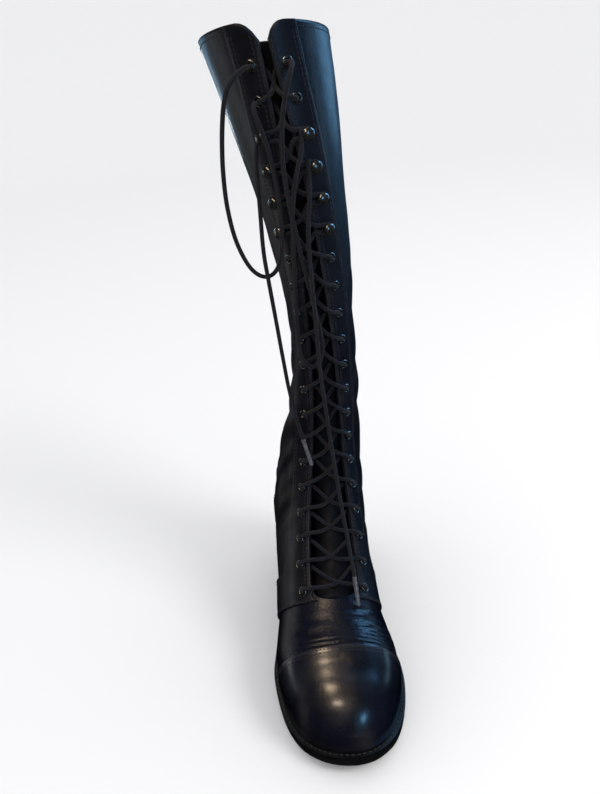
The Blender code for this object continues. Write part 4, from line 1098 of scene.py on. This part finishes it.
stitch = {"long": 2.3, "pitch": 2.9, "thick": 0.30, "flat": 1.25, "sunk": 0.02, "throatRows": (2.0, 4.4),
          "edgeRows": (1.8, 4.0), "capRows": (1.6, 3.8), "collarRow": 4.5, "backRow": 1.8, "lowEnd": 0.985}
weltStitch = {"long": 3.0, "pitch": 4.0, "thick": 0.38, "inset": 2.2, "pastBreast": 12}


def stitchPattern():
    bpy.ops.object.select_all(action="DESELECT")
    bpy.ops.mesh.primitive_uv_sphere_add(segments=6, ring_count=4, radius=1)
    pattern = bpy.context.object
    points = np.array([v.co[:] for v in pattern.data.vertices])
    faces = [tuple(p.vertices) for p in pattern.data.polygons]
    bpy.data.objects.remove(pattern)
    return points[:, (2, 0, 1)], faces  # its poles lie along the seam


stitchPoints, stitchFaces = stitchPattern()


def sewLine(line, normals, size):  # places one stitch after another along a line
    run = runAlong(line)
    count = max(1, int(run[-1] / size["pitch"]))
    stops = (np.arange(count) + 0.5) * run[-1] / count
    along = unit(pointsAt(stops + 0.4, run, line) - pointsAt(stops - 0.4, run, line))
    up = pointsAt(stops, run, normals)
    up = unit(up - along * (up * along).sum(axis=1, keepdims=True))
    across = np.cross(up, along) * size["thick"] * stitch["flat"]
    frames = np.stack([along * size["long"] / 2, across, up * size["thick"]], axis=1)
    spots = pointsAt(stops, run, line) + up * stitch["sunk"]
    return np.einsum("pk,nkd->npd", stitchPoints, frames) + spots[:, None]


def sewSeams(name, runs, finish, slot, size=stitch):
    sewn = np.concatenate([sewLine(line, normals, size) for line, normals in runs])
    starts = range(0, len(sewn) * len(stitchPoints), len(stitchPoints))
    faces = [tuple(start + k for k in face) for start in starts for face in stitchFaces]
    mesh = bpy.data.meshes.new(name)
    mesh.from_pydata(sewn.reshape(-1, 3) * mm, [], faces)
    piece = bpy.data.objects.new(name, mesh)
    bpy.context.collection.objects.link(piece)
    mesh.materials.append(finish)
    finishPiece(piece, slot)


def seamRun(side, at, share, lift=boot["overlay"]):
    at, share = np.broadcast_arrays(np.asarray(at, float), np.asarray(share, float))
    return onSkin(at, side, share, lift), normalAt(at, side, share)


def sections(side, at, share, distance):  # a distance along the boot, counted in sections
    ahead, back = onSkin(at + 0.05, side, share), onSkin(at - 0.05, side, share)
    return distance * 0.1 / np.linalg.norm(ahead - back, axis=-1)


def facingSeams(side):
    throatUp = np.linspace(seams["throat"] + 1.15, lastPlace - 0.12, 400)
    backUp = np.linspace(seams["wing"] + facing["filletRun"] + 0.3, lastPlace - 0.25, 400)
    along = np.linspace(shareOf(seams["throat"] + 1, side, 3.0), stitch["lowEnd"], 200)
    wide = np.linspace(stripShare(seams["wing"], side), stitch["lowEnd"], 200)
    front, rear = frontPlace(side, along), backPlace(side, wide)
    runs = [seamRun(side, throatUp, shareOf(throatUp, side, inset)) for inset in stitch["throatRows"]]
    for inset in stitch["edgeRows"]:  # the strip's back edge, then the wing's front and back edges
        runs.append(seamRun(side, backUp, stripShare(backUp, side) - shareOf(backUp, side, inset)))
        runs.append(seamRun(side, front + sections(side, front, along, inset), along))
        runs.append(seamRun(side, rear - sections(side, rear, wide, inset), wide))
    return runs


def capSeam(side):
    along = np.linspace(0.0, stitch["lowEnd"], 200)
    return [seamRun(side, seams["cap"] - sections(side, seams["cap"], along, inset), along)
            for inset in stitch["capRows"]]


def counterSeams(side):
    up = np.linspace(seams["counterLow"] + 0.35, seams["counterTop"] - 0.1, 300)
    across = np.linspace(0.02, 1, 60)
    top = counterTop(across)
    start = counterShare(top, side)
    share = start + across * (1 - start)
    runs = []
    for inset in stitch["edgeRows"]:
        runs.append(seamRun(side, up, counterShare(up, side) + shareOf(up, side, inset)))
        runs.append(seamRun(side, top - sections(side, top, share, inset), share))
    return runs


def collarSeams(side):  # below the collar, then beside the back seam
    share = np.linspace(float(stripShare(lastPlace, side)) + 0.01, 1, 120)
    below = sections(side, lastPlace - 0.2, share, stitch["collarRow"])
    up = np.linspace(seams["counterTop"] + counter["rise"] + 0.1, lastPlace - 0.02, 200)
    return [seamRun(side, lastPlace - below, share, 0.05),
            seamRun(side, up, 1 - shareOf(up, side, stitch["backRow"]), 0.05)]


def weltSeam():
    loop = loopOf(*weltLine)
    line = loop - outwardOf(loop) * weltStitch["inset"]
    keep = line[:, 1] < boot["heelBreast"] + weltStitch["pastBreast"]
    z = soleRise(line[:, 1]) + boot["outsole"] + boot["gap"] + boot["welt"]
    line = np.column_stack([line, z])
    line = np.roll(line, -(np.where(~keep)[0].max() + 1), axis=0)[: keep.sum()]
    return [(line, np.tile((0, 0, 1.0), (len(line), 1)))]


def bothSides(*seamKinds):
    return [run for seamKind in seamKinds for side in sides for run in seamKind(side)]


sewSeams("facingStitches", bothSides(facingSeams), threadNavy, "navy_leather")
sewSeams("capStitches", bothSides(capSeam), threadNavy, "navy_leather")
sewSeams("counterStitches", bothSides(counterSeams, collarSeams), threadNavy, "navy_leather")
sewSeams("weltStitches", weltSeam(), threadWelt, "welt_leather", weltStitch)
print("seams sewn")

# floor, light and camera, in metres
studio = {"floor": (0.93, 0.93, 0.935), "rough": 0.8, "world": (0.98, 0.985, 1.0), "worldStrength": 0.92,
          "flatTo": 2.4, "flatSteps": 9, "curve": 1.4, "curveSteps": 12, "slope": 45.0, "wallRun": 5.0,
          "turns": 64}


def buildFloor():  # flat, then a low curve up all round
    slope = math.radians(studio["slope"])
    lips = [(r, 0.0) for r in np.linspace(0.0, studio["flatTo"], studio["flatSteps"])]
    lips += [(studio["flatTo"] + studio["curve"] * math.sin(a), studio["curve"] * (1 - math.cos(a)))
             for a in np.linspace(0, slope, studio["curveSteps"] + 1)[1:]]
    far, high = lips[-1]
    lips.append((far + studio["wallRun"] * math.cos(slope), high + studio["wallRun"] * math.sin(slope)))
    turn = np.linspace(0, 2 * math.pi, studio["turns"] + 1)
    rings = np.array([[(r * math.cos(a), r * math.sin(a), z) for a in turn] for r, z in lips])
    made, _, shader = newMaterial("paleFloor")
    feedShader(shader, {"Base Color": (*studio["floor"], 1), "Roughness": studio["rough"],
                        "Specular IOR Level": 0.0})
    floor = sheetFromGrid("floorSweep", rings / mm, made)
    mergeDoubles(floor, 1.0, (bpy.ops.mesh.normals_make_consistent, {"inside": True}))
    activate(floor)
    bpy.ops.object.shade_smooth()
    floor.visible_glossy = False  # the leather shines from the lamps alone


def buildWorld():
    world = bpy.data.worlds.new("studioSky")
    world.use_nodes = True
    sky = world.node_tree.nodes["Background"]
    sky.inputs["Color"].default_value = (*studio["world"], 1)
    sky.inputs["Strength"].default_value = studio["worldStrength"]
    world.cycles_visibility.glossy = False
    bpy.context.scene.world = world


lamps = (  # name, place, aim, size, watts, colour, what it does
    ("ceilingWarm", (-0.50, -0.38, 1.42), (0.0, -0.16, 0.06), 0.34, 3.9, (1.0, 0.76, 0.52), "shine"),
    ("ceilingFront", (-0.38, -1.06, 1.26), (0.0, -0.18, 0.05), 0.28, 3.3, (1.0, 0.80, 0.60), "shine"),
    ("ceilingSoft", (0.12, 0.30, 1.9), (0.0, -0.08, 0.1), 0.8, 0.8, (0.80, 0.90, 1.0), "shine"),
    ("coolWindow", (1.25, 0.6, 1.25), (0.0, -0.1, 0.12), 0.75, 10, (0.20, 0.54, 1.0), "shine"),
    ("frontCool", (0.72, -1.75, 0.62), (0.0, -0.18, 0.05), 0.35, 3.4, (0.24, 0.58, 1.0), "shine"),
    ("leftSide", (-1.2, 0.66, 0.12), (0.0, -0.03, 0.1), 0.9, 0.9, (1.0, 0.97, 0.92), "shine"),
    ("leftBack", (-0.80, 1.15, 0.38), (0.0, 0.0, 0.3), 0.6, 1.4, (0.34, 0.68, 1.0), "shine"),
    ("backCool", (1.1, 1.15, 0.55), (0.0, 0.0, 0.3), 0.7, 4.4, (0.24, 0.58, 1.0), "shine"),
    ("rearLow", (-0.35, 1.9, 0.30), (0.0, 0.0, 0.22), 0.5, 8.0, (0.88, 0.95, 1.0), "shine"),
    ("innerLow", (1.8, 0.45, 0.30), (0.0, 0.0, 0.22), 0.5, 1.3, (0.40, 0.70, 1.0), "shine"),
    ("outerLow", (-1.9, 0.30, 0.30), (0.0, 0.0, 0.22), 0.5, 0.9, (0.95, 0.98, 1.0), "shine"),
    ("keySoft", (1.3, -0.8, 1.5), (0.0, 0.0, 0.1), 0.8, 14, (1.0, 0.99, 0.97), "fill"),
)


def buildLamps():
    for name, place, aim, size, watts, colour, does in lamps:
        bpy.ops.object.light_add(type="AREA", location=place)
        lamp = bpy.context.object
        lamp.name = name
        lamp.data.shape = "DISK"
        lamp.data.size = size
        lamp.data.energy = watts
        lamp.data.color = colour
        lamp.rotation_euler = (Vector(aim) - Vector(place)).to_track_quat("-Z", "Y").to_euler()
        lamp.visible_diffuse = does == "fill"
        lamp.visible_glossy = does == "shine"


view = {  # the photograph's stand point, turned to have the boot in the middle
    "place": (0.002, -0.506, 0.450), "yaw": -1.63, "pitch": 27.57, "roll": -6.1, "focalPixels": 680.0,
    "frameTall": 794, "sensor": 36, "clip": 0.02,
}


def buildCamera():
    yaw, pitch, roll = (math.radians(view[k]) for k in ("yaw", "pitch", "roll"))
    ahead = Vector((math.sin(yaw) * math.cos(pitch), math.cos(yaw) * math.cos(pitch), -math.sin(pitch)))
    right = Vector((math.cos(yaw), -math.sin(yaw), 0))
    up = right.cross(ahead)
    rolledRight = right * math.cos(roll) + up * math.sin(roll)
    rolledUp = up * math.cos(roll) - right * math.sin(roll)
    bpy.ops.object.camera_add(location=view["place"])
    camera = bpy.context.object
    camera.rotation_euler = Matrix((rolledRight, rolledUp, -ahead)).transposed().to_euler()
    camera.data.sensor_fit = "AUTO"
    camera.data.sensor_width = view["sensor"]
    camera.data.lens = view["focalPixels"] * view["sensor"] / view["frameTall"]
    camera.data.clip_start = view["clip"]
    bpy.context.scene.camera = camera


buildFloor()
buildWorld()
buildLamps()
buildCamera()
bpy.context.scene.view_settings.view_transform = "Standard"
print("studio set")
